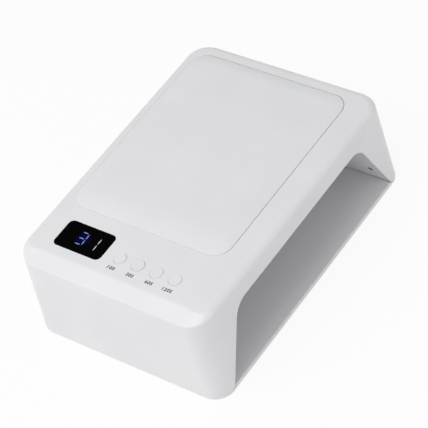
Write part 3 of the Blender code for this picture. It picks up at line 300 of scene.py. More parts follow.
foot_rubber = moulded(
    "foot_rubber", RUBBER_BLACK, RUBBER_WORN, grains=5200.0, roughness=0.72, spread=0.12, bump=0.5
)
for number in range(1, 5):
    low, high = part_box(f"foot_{number}")
    radius = (high.x - low.x) / 2
    profile = [(0.0, FOOT_HOLLOW), (FOOT_HOLLOW_RADIUS - FOOT_HOLLOW, FOOT_HOLLOW)]
    profile += [(FOOT_HOLLOW_RADIUS, 0.0)]
    profile += arc(radius - FOOT_EDGE, FOOT_EDGE, FOOT_EDGE, -90, 0)
    profile += [(radius, high.z), (0.0, high.z)]
    bm = bmesh.new()
    add_turned(bm, profile, FOOT_SEGMENTS, at((low.x + high.x) / 2, (low.y + high.y) / 2))
    foot = make_piece(f"rubber_foot_{number}", bm, foot_rubber)
    smooth(foot)
    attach(foot, "base")
    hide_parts(f"foot_{number}")

# Base plate: a flat white ABS moulding that the housing stands on. A tongue at its front fills the foot of
# the hand opening, and it has shallow pockets for the floor sheet, the steel discs and the feet.
ABS_LIGHT = (0.815, 0.815, 0.822, 1.0)
ABS_DARK = (0.785, 0.786, 0.796, 1.0)
END_FLARE = 3.0 * MM
SIDE_FLARE = 2.0 * MM
BASE_CORNER = 16.0 * MM
TOP_CORNER = 19.0 * MM
WALL = 2.5 * MM
PLATE_CLEARANCE = 0.5 * MM
CLEARANCE = 0.3 * MM
OVERRUN = 4.0 * MM
PLATE_EDGE = 0.4 * MM
TONGUE_DEPTH = 6.5 * MM
PILLAR_WIDTH = 17.6 * MM
CAVITY_RUN = 27.4 * MM
ROOF_SPACE = 18.4 * MM
CORNER_SEGMENTS = 16
LIP_END = 98
LIP_TURN = math.radians(180 - LIP_END)
PLAN_AXIS = Vector((0.0, 0.0, 1.0))
FRONT_AXIS = Vector((0.0, -1.0, 0.0))

housing_low, housing_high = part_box("housing")
HALF_LENGTH = housing_high.x
HALF_WIDTH = housing_high.y
TOP = housing_high.z
FOOT = housing_low.z
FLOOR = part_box("base_plate")[1].z
CEILING = TOP - ROOF_SPACE
LEAN = math.atan2(CAVITY_RUN, CEILING - FLOOR)


def half_length(z):
    """Half the housing's length at height z."""
    return HALF_LENGTH - END_FLARE * (z - FOOT) / (TOP - FOOT)


def half_width(z):
    """Half the housing's width at height z."""
    return HALF_WIDTH - SIDE_FLARE * (z - FOOT) / (TOP - FOOT)


def corner_radius(z):
    """Radius of the housing's plan corners at height z."""
    return BASE_CORNER + (TOP_CORNER - BASE_CORNER) * (z - FOOT) / (TOP - FOOT)


def slope_x(z, offset):
    """X of the hand cavity's slanted wall at height z, moved outwards by offset."""
    return HALF_LENGTH - PILLAR_WIDTH + offset / math.cos(LEAN) - (z - FLOOR) * math.tan(LEAN)


def new_shape():
    """An empty bmesh whose points remember their home in the outline and the way out from it."""
    bm = bmesh.new()
    bm.verts.layers.float_vector.new("home")
    bm.verts.layers.float_vector.new("out")
    return bm


def add_outline(bm, corners, radii, axis, segments):
    """A ring of edges, anticlockwise about the axis, with an arc round each corner that has a radius."""
    home = bm.verts.layers.float_vector["home"]
    out = bm.verts.layers.float_vector["out"]
    ring = []
    for index, (corner, radius) in enumerate(zip(corners, radii)):
        before = (corner - corners[index - 1]).normalized()
        after = (corners[(index + 1) % len(corners)] - corner).normalized()
        side = before.cross(axis)
        if radius == 0:
            point = bm.verts.new(corner)
            mean = side + after.cross(axis)
            point[out] = mean * (2 / mean.length_squared)
            ring.append(point)
            continue
        turn = before.angle(after)
        point = bm.verts.new(corner - before * radius * math.tan(turn / 2))
        centre = point.co - side * radius
        point[out] = side
        ring.append(point)
        for _ in range(segments):
            spun = bmesh.ops.spin(bm, geom=[point], cent=centre, axis=axis, angle=turn / segments, steps=1)
            point = [part for part in spun["geom_last"] if isinstance(part, bmesh.types.BMVert)][0]
            point[out] = (point.co - centre).normalized()
            ring.append(point)
    for point, following in zip(ring, ring[1:] + ring[:1]):
        if bm.edges.get((point, following)) is None:
            bm.edges.new((point, following))
    for point in ring:
        point[home] = point.co
    return [bm.edges.get(pair) for pair in zip(ring, ring[1:] + ring[:1])]


def add_ring(bm, edges, place):
    """The next ring of a wall: the edges extruded, and each new point put where place says."""
    home = bm.verts.layers.float_vector["home"]
    out = bm.verts.layers.float_vector["out"]
    made = bmesh.ops.extrude_edge_only(bm, edges=edges)["geom"]
    for part in made:
        if isinstance(part, bmesh.types.BMVert):
            part.co = place(part[home], part[out])
    return [part for part in made if isinstance(part, bmesh.types.BMEdge) and part.is_boundary]


def add_solid(bm, corners, radii, axis, places, segments=CORNER_SEGMENTS):
    """A closed shape through rings of one rounded outline, one for each place."""
    home = bm.verts.layers.float_vector["home"]
    out = bm.verts.layers.float_vector["out"]
    ring = add_outline(bm, corners, radii, axis, segments)
    for point in {end for edge in ring for end in edge.verts}:
        point.co = places[0](point[home], point[out])
    bmesh.ops.edgeloop_fill(bm, edges=ring)
    for place in places[1:]:
        ring = add_ring(bm, ring, place)
    bmesh.ops.edgeloop_fill(bm, edges=ring)


def level(z, grow=0.0):
    """A plan ring at height z, grown outwards."""
    return lambda home, out: Vector((home.x + out.x * grow, home.y + out.y * grow, z))


def rounded_top(z, radius, steps=EDGE_STEPS):
    """Levels of a rounded upper edge that ends at height z."""
    turns = [math.pi / 2 * step / steps for step in range(steps + 1)]
    return [level(z - radius + radius * math.sin(turn), -radius * (1 - math.cos(turn))) for turn in turns]


def rounded_foot(z, radius, steps=EDGE_STEPS):
    """Levels of a rounded lower edge that starts at height z."""
    turns = [math.pi / 2 * (1 - step / steps) for step in range(steps + 1)]
    return [level(z + radius - radius * math.sin(turn), -radius * (1 - math.cos(turn))) for turn in turns]


def flared_top(z, radius, grow=0.0, steps=EDGE_STEPS):
    """Levels of a cutter that leaves a rounded lip at the surface at height z, and runs on above it."""
    turns = [LIP_TURN * step / steps for step in range(steps + 1)]
    lip = []
    for turn in turns:
        lip.append(level(z - radius + radius * math.sin(turn), grow + radius * (1 - math.cos(turn))))
    return lip + [level(z + OVERRUN, grow + radius)]


def rectangle(low_x, high_x, low_y, high_y):
    """Corners of a plan rectangle, anticlockwise."""
    corners = ((high_x, high_y), (low_x, high_y), (low_x, low_y), (high_x, low_y))
    return [Vector((x, y, 0.0)) for x, y in corners]


def wall_level(z, inset):
    """The housing's plan outline at height z, drawn in by inset."""

    def place(home, out):
        radius = corner_radius(z)
        x = math.copysign(half_length(z) - radius, home.x) + out.x * (radius - inset)
        y = math.copysign(half_width(z) - radius, home.y) + out.y * (radius - inset)
        return Vector((x, y, z))

    return place


def combine(piece, bm, operation):
    """Cuts the closed shapes of bm from a piece, or joins them to it."""
    tool = make_piece("tool", bm, piece.data.materials[0])
    modifier = piece.modifiers.new("combine", "BOOLEAN")
    modifier.object = tool
    modifier.operation = operation
    bpy.context.view_layer.update()
    evaluated = piece.evaluated_get(bpy.context.evaluated_depsgraph_get())
    bm = bmesh.new()
    bm.from_mesh(bpy.data.meshes.new_from_object(evaluated))
    bmesh.ops.remove_doubles(bm, verts=bm.verts, dist=MM / 50000)
    bmesh.ops.dissolve_degenerate(bm, edges=bm.edges, dist=MM / 50000)
    mesh = bpy.data.meshes.new(piece.name)
    bm.to_mesh(mesh)
    bm.free()
    mesh.materials.append(piece.data.materials[0])
    piece.modifiers.clear()
    old = piece.data
    piece.data = mesh
    bpy.data.meshes.remove(old)
    bpy.data.objects.remove(tool, do_unlink=True)


white_abs = moulded(
    "white_abs", ABS_LIGHT, ABS_DARK, grains=3600.0, roughness=0.36, spread=0.07, bump=0.12
)
plate_inset = WALL + PLATE_CLEARANCE
housing_plan = rectangle(-HALF_LENGTH, HALF_LENGTH, -HALF_WIDTH, HALF_WIDTH)
bm = new_shape()
places = [
    wall_level(FOOT, plate_inset + PLATE_EDGE),
    wall_level(FOOT + PLATE_EDGE / 3, plate_inset + PLATE_EDGE / 3),
    wall_level(FOOT + PLATE_EDGE, plate_inset),
    wall_level(FLOOR - PLATE_EDGE, plate_inset),
    wall_level(FLOOR - PLATE_EDGE / 3, plate_inset + PLATE_EDGE / 3),
    wall_level(FLOOR, plate_inset + PLATE_EDGE),
]
add_solid(bm, housing_plan, [BASE_CORNER] * 4, PLAN_AXIS, places)
base_plate = make_piece("base_plate_moulding", bm, white_abs)


def tongue_place(depth, grow):
    """A ring of the tongue, behind the leaning front face by depth."""
    return lambda home, out: Vector(
        (home.x + out.x * grow, -half_width(home.z) + depth, home.z + out.z * grow)
    )


bm = new_shape()
foot_half = slope_x(FOOT, -PLATE_CLEARANCE)
floor_half = slope_x(FLOOR, -PLATE_CLEARANCE)
tongue_section = [
    Vector((foot_half, 0.0, FOOT)),
    Vector((floor_half, 0.0, FLOOR)),
    Vector((-floor_half, 0.0, FLOOR)),
    Vector((-foot_half, 0.0, FOOT)),
]
places = [
    tongue_place(0.0, -PLATE_EDGE),
    tongue_place(PLATE_EDGE / 3, -PLATE_EDGE / 3),
    tongue_place(PLATE_EDGE, 0.0),
    tongue_place(TONGUE_DEPTH, 0.0),
]
add_solid(bm, tongue_section, [0] * 4, FRONT_AXIS, places)
combine(base_plate, bm, "UNION")

sheet_low, sheet_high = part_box("floor_sheet")
SHEET_CORNER = 1.2 * MM
DISC_NODES = [f"steel_disc_{number}" for number in range(1, 5)]
bm = new_shape()
pocket = rectangle(
    sheet_low.x - CLEARANCE, sheet_high.x + CLEARANCE, sheet_low.y - CLEARANCE, sheet_high.y + CLEARANCE
)
places = [level(sheet_low.z - CLEARANCE), level(FLOOR + OVERRUN)]
add_solid(bm, pocket, [SHEET_CORNER + CLEARANCE] * 4, PLAN_AXIS, places)
for node in DISC_NODES:
    low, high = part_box(node)
    radius = (high.x - low.x) / 2 + CLEARANCE
    profile = [(0.0, low.z - CLEARANCE), (radius, low.z - CLEARANCE)]
    profile += [(radius, FLOOR + OVERRUN), (0.0, FLOOR + OVERRUN)]
    add_turned(bm, profile, FOOT_SEGMENTS, at((low.x + high.x) / 2, (low.y + high.y) / 2))
for number in range(1, 5):
    low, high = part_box(f"foot_{number}")
    radius = (high.x - low.x) / 2 + CLEARANCE
    profile = [(0.0, FOOT - OVERRUN), (radius, FOOT - OVERRUN)]
    profile += [(radius, high.z + CLEARANCE), (0.0, high.z + CLEARANCE)]
    add_turned(bm, profile, FOOT_SEGMENTS, at((low.x + high.x) / 2, (low.y + high.y) / 2))
combine(base_plate, bm, "DIFFERENCE")
smooth(base_plate)
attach(base_plate, "base")
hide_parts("base_plate")

# Floor sheet: thin aluminium with a fine satin brushing along the lamp, bonded into its pocket in the base
# plate, where it throws the light back up at the hand.
SHEET_EDGE = 0.15 * MM
METAL_LIGHT = (0.90, 0.90, 0.91, 1.0)
METAL_DARK = (0.84, 0.84, 0.85, 1.0)
BRUSHING_STRETCH = (0.02, 1.0, 1.0)
BRUSHING_DETAIL = 3.0
BRUSHING_BUMP = 0.1
BRUSHING_RELIEF = 0.02 * MM


def brushing_group():
    """Fine parallel strokes on a metal face, drawn out along the local X axis."""
    group = bpy.data.node_groups.new("brushed_strokes", "ShaderNodeTree")
    face = group.interface
    face.new_socket("Light Tone", in_out="INPUT", socket_type="NodeSocketColor")
    face.new_socket("Dark Tone", in_out="INPUT", socket_type="NodeSocketColor")
    face.new_socket("Strokes per Metre", in_out="INPUT", socket_type="NodeSocketFloat")
    face.new_socket("Roughness", in_out="INPUT", socket_type="NodeSocketFloat")
    face.new_socket("Roughness Spread", in_out="INPUT", socket_type="NodeSocketFloat")
    face.new_socket("Tone", in_out="OUTPUT", socket_type="NodeSocketColor")
    face.new_socket("Roughness", in_out="OUTPUT", socket_type="NodeSocketFloat")
    face.new_socket("Height", in_out="OUTPUT", socket_type="NodeSocketFloat")
    entry = group.nodes.new("NodeGroupInput")
    result = group.nodes.new("NodeGroupOutput")
    place = group.nodes.new("ShaderNodeTexCoord")
    stretch = group.nodes.new("ShaderNodeMapping")
    stretch.inputs["Scale"].default_value = BRUSHING_STRETCH
    wire(group, place, "Object", stretch, "Vector")
    strokes = group.nodes.new("ShaderNodeTexNoise")
    strokes.inputs["Detail"].default_value = BRUSHING_DETAIL
    wire(group, stretch, "Vector", strokes, "Vector")
    wire(group, entry, "Strokes per Metre", strokes, "Scale")
    tone = group.nodes.new("ShaderNodeMix")
    tone.data_type = "RGBA"
    wire(group, strokes, 0, tone, "Factor")
    wire(group, entry, "Light Tone", tone, 6)
    wire(group, entry, "Dark Tone", tone, 7)
    gloss = group.nodes.new("ShaderNodeMath")
    gloss.operation = "MULTIPLY_ADD"
    wire(group, strokes, 0, gloss, 0)
    wire(group, entry, "Roughness Spread", gloss, 1)
    wire(group, entry, "Roughness", gloss, 2)
    wire(group, tone, 2, result, "Tone")
    wire(group, gloss, 0, result, "Roughness")
    wire(group, strokes, 0, result, "Height")
    return group


brushed_strokes = brushing_group()


def brushed(name, light, dark, strokes, roughness, spread, metallic):
    """A metal with fine strokes in its tone, its gloss and its relief."""
    material = bpy.data.materials.new(name)
    material.use_nodes = True
    tree = material.node_tree
    shader = tree.nodes["Principled BSDF"]
    shader.inputs["Metallic"].default_value = metallic
    surface = tree.nodes.new("ShaderNodeGroup")
    surface.node_tree = brushed_strokes
    surface.inputs["Light Tone"].default_value = light
    surface.inputs["Dark Tone"].default_value = dark
    surface.inputs["Strokes per Metre"].default_value = strokes
    surface.inputs["Roughness"].default_value = roughness
    surface.inputs["Roughness Spread"].default_value = spread
    relief = tree.nodes.new("ShaderNodeBump")
    relief.inputs["Strength"].default_value = BRUSHING_BUMP
    relief.inputs["Distance"].default_value = BRUSHING_RELIEF
    wire(tree, surface, "Tone", shader, "Base Color")
    wire(tree, surface, "Roughness", shader, "Roughness")
    wire(tree, surface, "Height", relief, "Height")
    wire(tree, relief, "Normal", shader, "Normal")
    return material


floor_metal = brushed(
    "floor_metal", METAL_LIGHT, METAL_DARK, strokes=900.0, roughness=0.42, spread=0.12, metallic=0.35
)
bm = new_shape()
sheet_plan = rectangle(sheet_low.x, sheet_high.x, sheet_low.y, sheet_high.y)
places = rounded_foot(sheet_low.z, SHEET_EDGE, steps=3)
places += rounded_top(sheet_high.z, SHEET_EDGE, steps=3)
add_solid(bm, sheet_plan, [SHEET_CORNER] * 4, PLAN_AXIS, places)
floor_sheet = make_piece("floor_sheet_metal", bm, floor_metal)
smooth(floor_sheet)
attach(floor_sheet, "base")
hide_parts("floor_sheet")

# Steel discs: zinc-plated rounds pressed into the ends of the base plate, which the liner's magnets hold.
# Blanking and tumbling have rounded their edges.
DISC_EDGE = 0.2 * MM
ZINC_LIGHT = (0.66, 0.66, 0.67, 1.0)
ZINC_DARK = (0.54, 0.545, 0.56, 1.0)
plated_steel = brushed(
    "plated_steel", ZINC_LIGHT, ZINC_DARK, strokes=2600.0, roughness=0.24, spread=0.14, metallic=1.0
)


def add_round_plate(bm, node, edge):
    """A round plate in a node's place, with rounded edges."""
    low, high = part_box(node)
    radius = (high.x - low.x) / 2
    profile = [(0.0, low.z)] + arc(radius - edge, low.z + edge, edge, -90, 0, steps=3)
    profile += arc(radius - edge, high.z - edge, edge, 0, 90, steps=3) + [(0.0, high.z)]
    add_turned(bm, profile, FOOT_SEGMENTS, at((low.x + high.x) / 2, (low.y + high.y) / 2))


for node in DISC_NODES:
    bm = bmesh.new()
    add_round_plate(bm, node, DISC_EDGE)
    disc = make_piece("plated_" + node, bm, plated_steel)
    smooth(disc)
    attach(disc, "base")
    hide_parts(node)

# Cavity liner: one pale grey ABS moulding that lines the space for the hand. Its flange stands on the base
# plate, four screw cups and four magnet pockets rise from the flange, and round holes let the lenses
# through.
LINER_LIGHT = (0.80, 0.80, 0.806, 1.0)
LINER_DARK = (0.77, 0.771, 0.778, 1.0)
LINER_WALL = 2.2 * MM
LINER_FILLET = 3.0 * MM
CAVITY_CORNER = 17.0 * MM
BACK_CHAMBER = 17.0 * MM
FLANGE_THICKNESS = 2.0 * MM
FLANGE_EDGE = 0.4 * MM
CUP_RADIUS = 5.0 * MM
CUP_EDGE = 0.6 * MM
MAGNET_WALL = 1.7 * MM
BOSS_RADIUS = 3.2 * MM
SCREW_RADIUS = 1.3 * MM
SCREW_HEAD_RADIUS = 2.6 * MM
SCREW_HEAD = 1.8 * MM
LENS_RADIUS = 4.0 * MM
EYE_RADIUS = 2.5 * MM
EYE_FROM_FRONT = 12.1 * MM
EYE_LIFT = 17.0 * MM
HOLE_LIP = 0.4 * MM
CEILING_ROWS = 5
SLOPE_ROWS = 2
LED_COLUMNS = 4
SLOPE_BOARD_HEIGHT = 36.0 * MM
SLOPE_BOARD_LIFT = 9.5 * MM
ROUND_SEGMENTS = 48
HOLE_SEGMENTS = 32

FLANGE_BOTTOM = FLOOR + CLEARANCE
LINER_TOP = CEILING + LINER_WALL
CAVITY_BACK = HALF_WIDTH - WALL - BACK_CHAMBER - LINER_WALL
board_low, board_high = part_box("led_board_ceiling")


def arch_corners(bottom, offset):
    """The cavity's section, from its right foot over the ceiling, moved outwards by offset."""
    foot = slope_x(bottom, offset)
    shoulder = slope_x(CEILING + offset, offset)
    pairs = ((foot, bottom), (shoulder, CEILING + offset), (-shoulder, CEILING + offset), (-foot, bottom))
    return [Vector((x, 0.0, z)) for x, z in pairs]


def front_place(depth, grow):
    """A ring of the arch behind the leaning front face by depth, grown outwards."""
    return lambda home, out: Vector(
        (home.x + out.x * grow, -half_width(home.z + out.z * grow) + depth, home.z + out.z * grow)
    )


def back_place(y, grow):
    """A ring of the arch at a flat y, grown outwards."""
    return lambda home, out: Vector((home.x + out.x * grow, y, home.z + out.z * grow))


def rounded_back(y, radius, steps=EDGE_STEPS):
    """Rings of a rounded edge that ends at a flat y."""
    turns = [math.pi / 2 * step / steps for step in range(steps + 1)]
    return [
        back_place(y - radius + radius * math.sin(turn), -radius * (1 - math.cos(turn))) for turn in turns
    ]


def slope_frame(side, y, z):
    """A local frame on the cavity's slanted wall: Z outwards through the wall, X up the slope."""
    outward = Vector((side * math.cos(LEAN), 0.0, math.sin(LEAN)))
    upward = Vector((-side * math.sin(LEAN), 0.0, math.cos(LEAN)))
    turned = Matrix((upward, outward.cross(upward), outward)).transposed().to_4x4()
    return at(side * slope_x(z, 0.0), y, z) @ turned


def led_y(column):
    """Y of a column of LEDs, which is the same on all three boards."""
    return board_low.y + (board_high.y - board_low.y) * (column + 1 / 2) / LED_COLUMNS


def light_places(name):
    """Frames on the cavity's face under each LED of a board, with Z pointing out through the liner."""
    if name == "ceiling":
        pitch = (board_high.x - board_low.x) / CEILING_ROWS
        xs = [board_low.x + pitch * (row + 1 / 2) for row in range(CEILING_ROWS)]
        return [at(x, led_y(column), CEILING) for x in xs for column in range(LED_COLUMNS)]
    side = 1 if name == "far" else -1
    pitch = SLOPE_BOARD_HEIGHT / SLOPE_ROWS
    zs = [FLOOR + SLOPE_BOARD_LIFT + pitch * (row + 1 / 2) * math.cos(LEAN) for row in range(SLOPE_ROWS)]
    return [slope_frame(side, led_y(column), z) for z in zs for column in range(LED_COLUMNS)]


def middle(node):
    """The middle of a node's box."""
    low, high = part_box(node)
    return (low + high) / 2


def add_hole(bm, radius, lip, through, place):
    """A cutter for a round hole up the local Z, with a rounded lip where it starts at Z = 0."""
    profile = [(0.0, -through), (radius + lip, -through)]
    profile += arc(radius + lip, lip, lip, -LIP_END, -180, steps=3)
    profile += [(radius, through), (0.0, through)]
    add_turned(bm, profile, HOLE_SEGMENTS, place)


liner_abs = moulded(
    "liner_abs", LINER_LIGHT, LINER_DARK, grains=2800.0, roughness=0.46, spread=0.08, bump=0.2
)
bm = new_shape()
front_gap = WALL + CLEARANCE
places = [front_place(front_gap, 0.0)] + rounded_back(CAVITY_BACK + LINER_WALL, LINER_WALL)
section = arch_corners(FLANGE_BOTTOM + FLANGE_THICKNESS / 2, LINER_WALL)
corner = CAVITY_CORNER + LINER_WALL
add_solid(bm, section, [0, corner, corner, 0], FRONT_AXIS, places)
liner = make_piece("cavity_lining", bm, liner_abs)

bm = new_shape()
flange_top = FLANGE_BOTTOM + FLANGE_THICKNESS
places = [
    wall_level(FLANGE_BOTTOM, plate_inset),
    wall_level(flange_top - FLANGE_EDGE, plate_inset),
    wall_level(flange_top, plate_inset + FLANGE_EDGE),
]
add_solid(bm, housing_plan, [BASE_CORNER] * 4, PLAN_AXIS, places)
combine(liner, bm, "UNION")

LINER_SCREWS = [f"liner_screw_{number}" for number in range(1, 5)]
MAGNET_NODES = [f"magnet_{number}" for number in range(1, 5)]
BOARD_SCREWS = [f"led_board_screw_{number}" for number in (1, 2)]
CUP_HEIGHT = 5.5 * MM
LED_HEIGHT = 1.1 * MM
bm = bmesh.new()
for node in LINER_SCREWS:
    cup_top = FLANGE_BOTTOM + CUP_HEIGHT
    profile = [(0.0, FLANGE_BOTTOM + MM), (CUP_RADIUS, FLANGE_BOTTOM + MM)]
    profile += arc(CUP_RADIUS - CUP_EDGE, cup_top - CUP_EDGE, CUP_EDGE, 0, 90) + [(0.0, cup_top)]
    add_turned(bm, profile, ROUND_SEGMENTS, at(middle(node).x, middle(node).y))
combine(liner, bm, "UNION")
bm = bmesh.new()
for node in MAGNET_NODES:
    low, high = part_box(node)
    radius = (high.x - low.x) / 2 + CLEARANCE + MAGNET_WALL
    boss_top = high.z + CLEARANCE + MAGNET_WALL
    profile = [(0.0, FLANGE_BOTTOM + MM), (radius, FLANGE_BOTTOM + MM)]
    profile += arc(radius - CUP_EDGE, boss_top - CUP_EDGE, CUP_EDGE, 0, 90) + [(0.0, boss_top)]
    add_turned(bm, profile, ROUND_SEGMENTS, at(middle(node).x, middle(node).y))
for node in BOARD_SCREWS:
    boss_top = board_low.z + LED_HEIGHT - CLEARANCE
    profile = [(0.0, LINER_TOP - MM), (BOSS_RADIUS, LINER_TOP - MM)]
    profile += [(BOSS_RADIUS, boss_top), (0.0, boss_top)]
    add_turned(bm, profile, ROUND_SEGMENTS, at(middle(node).x, middle(node).y))
combine(liner, bm, "UNION")

bm = new_shape()
places = [back_place(-HALF_WIDTH - OVERRUN, 0.0)] + rounded_back(CAVITY_BACK, LINER_FILLET, steps=8)
section = arch_corners(FLANGE_BOTTOM - OVERRUN, 0.0)
add_solid(bm, section, [0, CAVITY_CORNER, CAVITY_CORNER, 0], FRONT_AXIS, places)
combine(liner, bm, "DIFFERENCE")

bm = bmesh.new()
for name in ("ceiling", "near", "far"):
    for place in light_places(name):
        add_hole(bm, LENS_RADIUS + CLEARANCE, HOLE_LIP, LINER_WALL + MM, place)
for side in (-1, 1):
    place = slope_frame(side, -HALF_WIDTH + EYE_FROM_FRONT, FLOOR + EYE_LIFT)
    add_hole(bm, EYE_RADIUS + CLEARANCE, HOLE_LIP, LINER_WALL + MM, place)
for node in BOARD_SCREWS:
    radius = SCREW_RADIUS + CLEARANCE
    profile = [(0.0, LINER_TOP), (radius, LINER_TOP), (radius, board_high.z), (0.0, board_high.z)]
    add_turned(bm, profile, HOLE_SEGMENTS, at(middle(node).x, middle(node).y))
for node in LINER_SCREWS:
    head = SCREW_HEAD_RADIUS + CLEARANCE
    shank = SCREW_RADIUS + CLEARANCE
    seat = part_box(node)[0].z + CLEARANCE + SCREW_HEAD
    cup_over = FLANGE_BOTTOM + CUP_HEIGHT + MM
    profile = [(0.0, FLANGE_BOTTOM - MM), (head, FLANGE_BOTTOM - MM), (head, seat)]
    profile += [(shank, seat), (shank, cup_over), (0.0, cup_over)]
    add_turned(bm, profile, HOLE_SEGMENTS, at(middle(node).x, middle(node).y))
for node in MAGNET_NODES:
    low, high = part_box(node)
    radius = (high.x - low.x) / 2 + CLEARANCE
    profile = [(0.0, FLANGE_BOTTOM - MM), (radius, FLANGE_BOTTOM - MM)]
    profile += [(radius, high.z + CLEARANCE), (0.0, high.z + CLEARANCE)]
    add_turned(bm, profile, ROUND_SEGMENTS, at(middle(node).x, middle(node).y))
combine(liner, bm, "DIFFERENCE")
smooth(liner)
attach(liner, "housing")
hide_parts("cavity_liner")

# Magnets: nickel-plated rounds pressed into the pockets under the liner's flange. They hold the housing on
# the steel discs.
MAGNET_EDGE = 0.25 * MM
for node in MAGNET_NODES:
    bm = bmesh.new()
    add_round_plate(bm, node, MAGNET_EDGE)
    magnet = make_piece("plated_" + node, bm, plated_steel)
    smooth(magnet)
    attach(magnet, "housing")
    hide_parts(node)

# Lens plates: clear polycarbonate plates on the liner's outer faces, one over the ceiling and one on each
# slanted end. Each LED has a low dome in them that looks through its hole in the liner.
LENS_PLATE = 1.5 * MM
LENS_STANDS = 0.8 * MM
LENS_BULGE = 24
SLAB_EDGE = 0.2 * MM
PLATE_CORNER = 1.5 * MM
CLEAR_TINT = (0.93, 0.95, 0.97, 1.0)
CLEAR_GRAINS = 900.0
CLEAR_SPREAD = 0.05
CLEAR_IOR = 1.58
LED_Y = (board_low.y, board_high.y)
SLOPE_BOARD_Z = FLOOR + SLOPE_BOARD_LIFT


def add_slab(bm, span_x, span_y, span_z, corner, edge, place=Matrix()):
    """A flat piece with rounded corners and softened edges, in a local frame."""
    kept = set(bm.verts)
    places = rounded_foot(span_z[0], edge, steps=2) + rounded_top(span_z[1], edge, steps=2)
    add_solid(bm, rectangle(*span_x, *span_y), [corner] * 4, PLAN_AXIS, places, segments=5)
    bmesh.ops.transform(bm, matrix=place, verts=[point for point in bm.verts if point not in kept])


def board_frame(name):
    """The spans of a lens plate or LED board, and the frame that they are measured in."""
    if name == "ceiling":
        return (board_low.x, board_high.x), LED_Y, at(0.0, 0.0, CEILING)
    side = 1 if name == "far" else -1
    span_y = sorted((-side * LED_Y[0], -side * LED_Y[1]))
    return (0.0, SLOPE_BOARD_HEIGHT), span_y, slope_frame(side, 0.0, SLOPE_BOARD_Z)


def clear(name, tint, roughness, ior):
    """A clear moulding, whose gloss varies a little over its face."""
    material = bpy.data.materials.new(name)
    material.use_nodes = True
    tree = material.node_tree
    shader = tree.nodes["Principled BSDF"]
    shader.inputs["Base Color"].default_value = tint
    shader.inputs["IOR"].default_value = ior
    shader.inputs["Transmission Weight"].default_value = 1.0
    surface = tree.nodes.new("ShaderNodeGroup")
    surface.node_tree = moulded_grain
    surface.inputs["Grains per Metre"].default_value = CLEAR_GRAINS
    surface.inputs["Roughness"].default_value = roughness
    surface.inputs["Roughness Spread"].default_value = CLEAR_SPREAD
    wire(tree, surface, "Roughness", shader, "Roughness")
    return material


clear_polycarbonate = clear("clear_polycarbonate", CLEAR_TINT, roughness=0.06, ior=CLEAR_IOR)
for name in ("ceiling", "near", "far"):
    span_x, span_y, frame_place = board_frame(name)
    plate_low = LINER_WALL + CLEARANCE
    bm = new_shape()
    add_slab(bm, span_x, span_y, (plate_low, plate_low + LENS_PLATE), PLATE_CORNER, SLAB_EDGE, frame_place)
    lens_plate = make_piece("clear_lenses_" + name, bm, clear_polycarbonate)
    sphere = LENS_RADIUS / math.sin(math.radians(LENS_BULGE))
    profile = arc(0.0, sphere - LENS_STANDS, sphere, -90, -90 + LENS_BULGE)
    profile[0] = (0.0, -LENS_STANDS)
    profile += [(LENS_RADIUS, plate_low + LENS_PLATE / 2), (0.0, plate_low + LENS_PLATE / 2)]
    bm = bmesh.new()
    for place in light_places(name):
        add_turned(bm, profile, ROUND_SEGMENTS, place)
    combine(lens_plate, bm, "UNION")
    if name == "ceiling":
        bm = bmesh.new()
        for node in BOARD_SCREWS:
            radius = BOSS_RADIUS + CLEARANCE
            profile = [(0.0, LINER_TOP), (radius, LINER_TOP), (radius, board_low.z), (0.0, board_low.z)]
            add_turned(bm, profile, ROUND_SEGMENTS, at(middle(node).x, middle(node).y))
        combine(lens_plate, bm, "DIFFERENCE")
    smooth(lens_plate)
    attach(lens_plate, "housing")
    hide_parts("lens_plate_" + name)

# LED boards: aluminium boards under white solder mask, one behind each lens plate. Each LED is a white
# ceramic square with an amber phosphor dome, soldered on the side that faces the hand.
BOARD_THICKNESS = 1.6 * MM
BOARD_CORNER = 1.0 * MM
LED_SIDE = 3.5 * MM
LED_BASE = 0.6 * MM
LED_DOME = 1.45 * MM
MASK_LIGHT = (0.78, 0.79, 0.80, 1.0)
MASK_DARK = (0.68, 0.69, 0.71, 1.0)
PHOSPHOR_LIGHT = (0.78, 0.52, 0.10, 1.0)
PHOSPHOR_DARK = (0.62, 0.38, 0.06, 1.0)
CERAMIC_LIGHT = (0.80, 0.79, 0.76, 1.0)
CERAMIC_DARK = (0.72, 0.71, 0.68, 1.0)
TRACK_WIDTH = 0.02
TRACK_SOFTNESS = 0.2
TRACK_LENGTH = 0.9
TRACK_PITCH = 0.3
TRACK_BUMP = 0.3
TRACK_RELIEF = 0.05 * MM


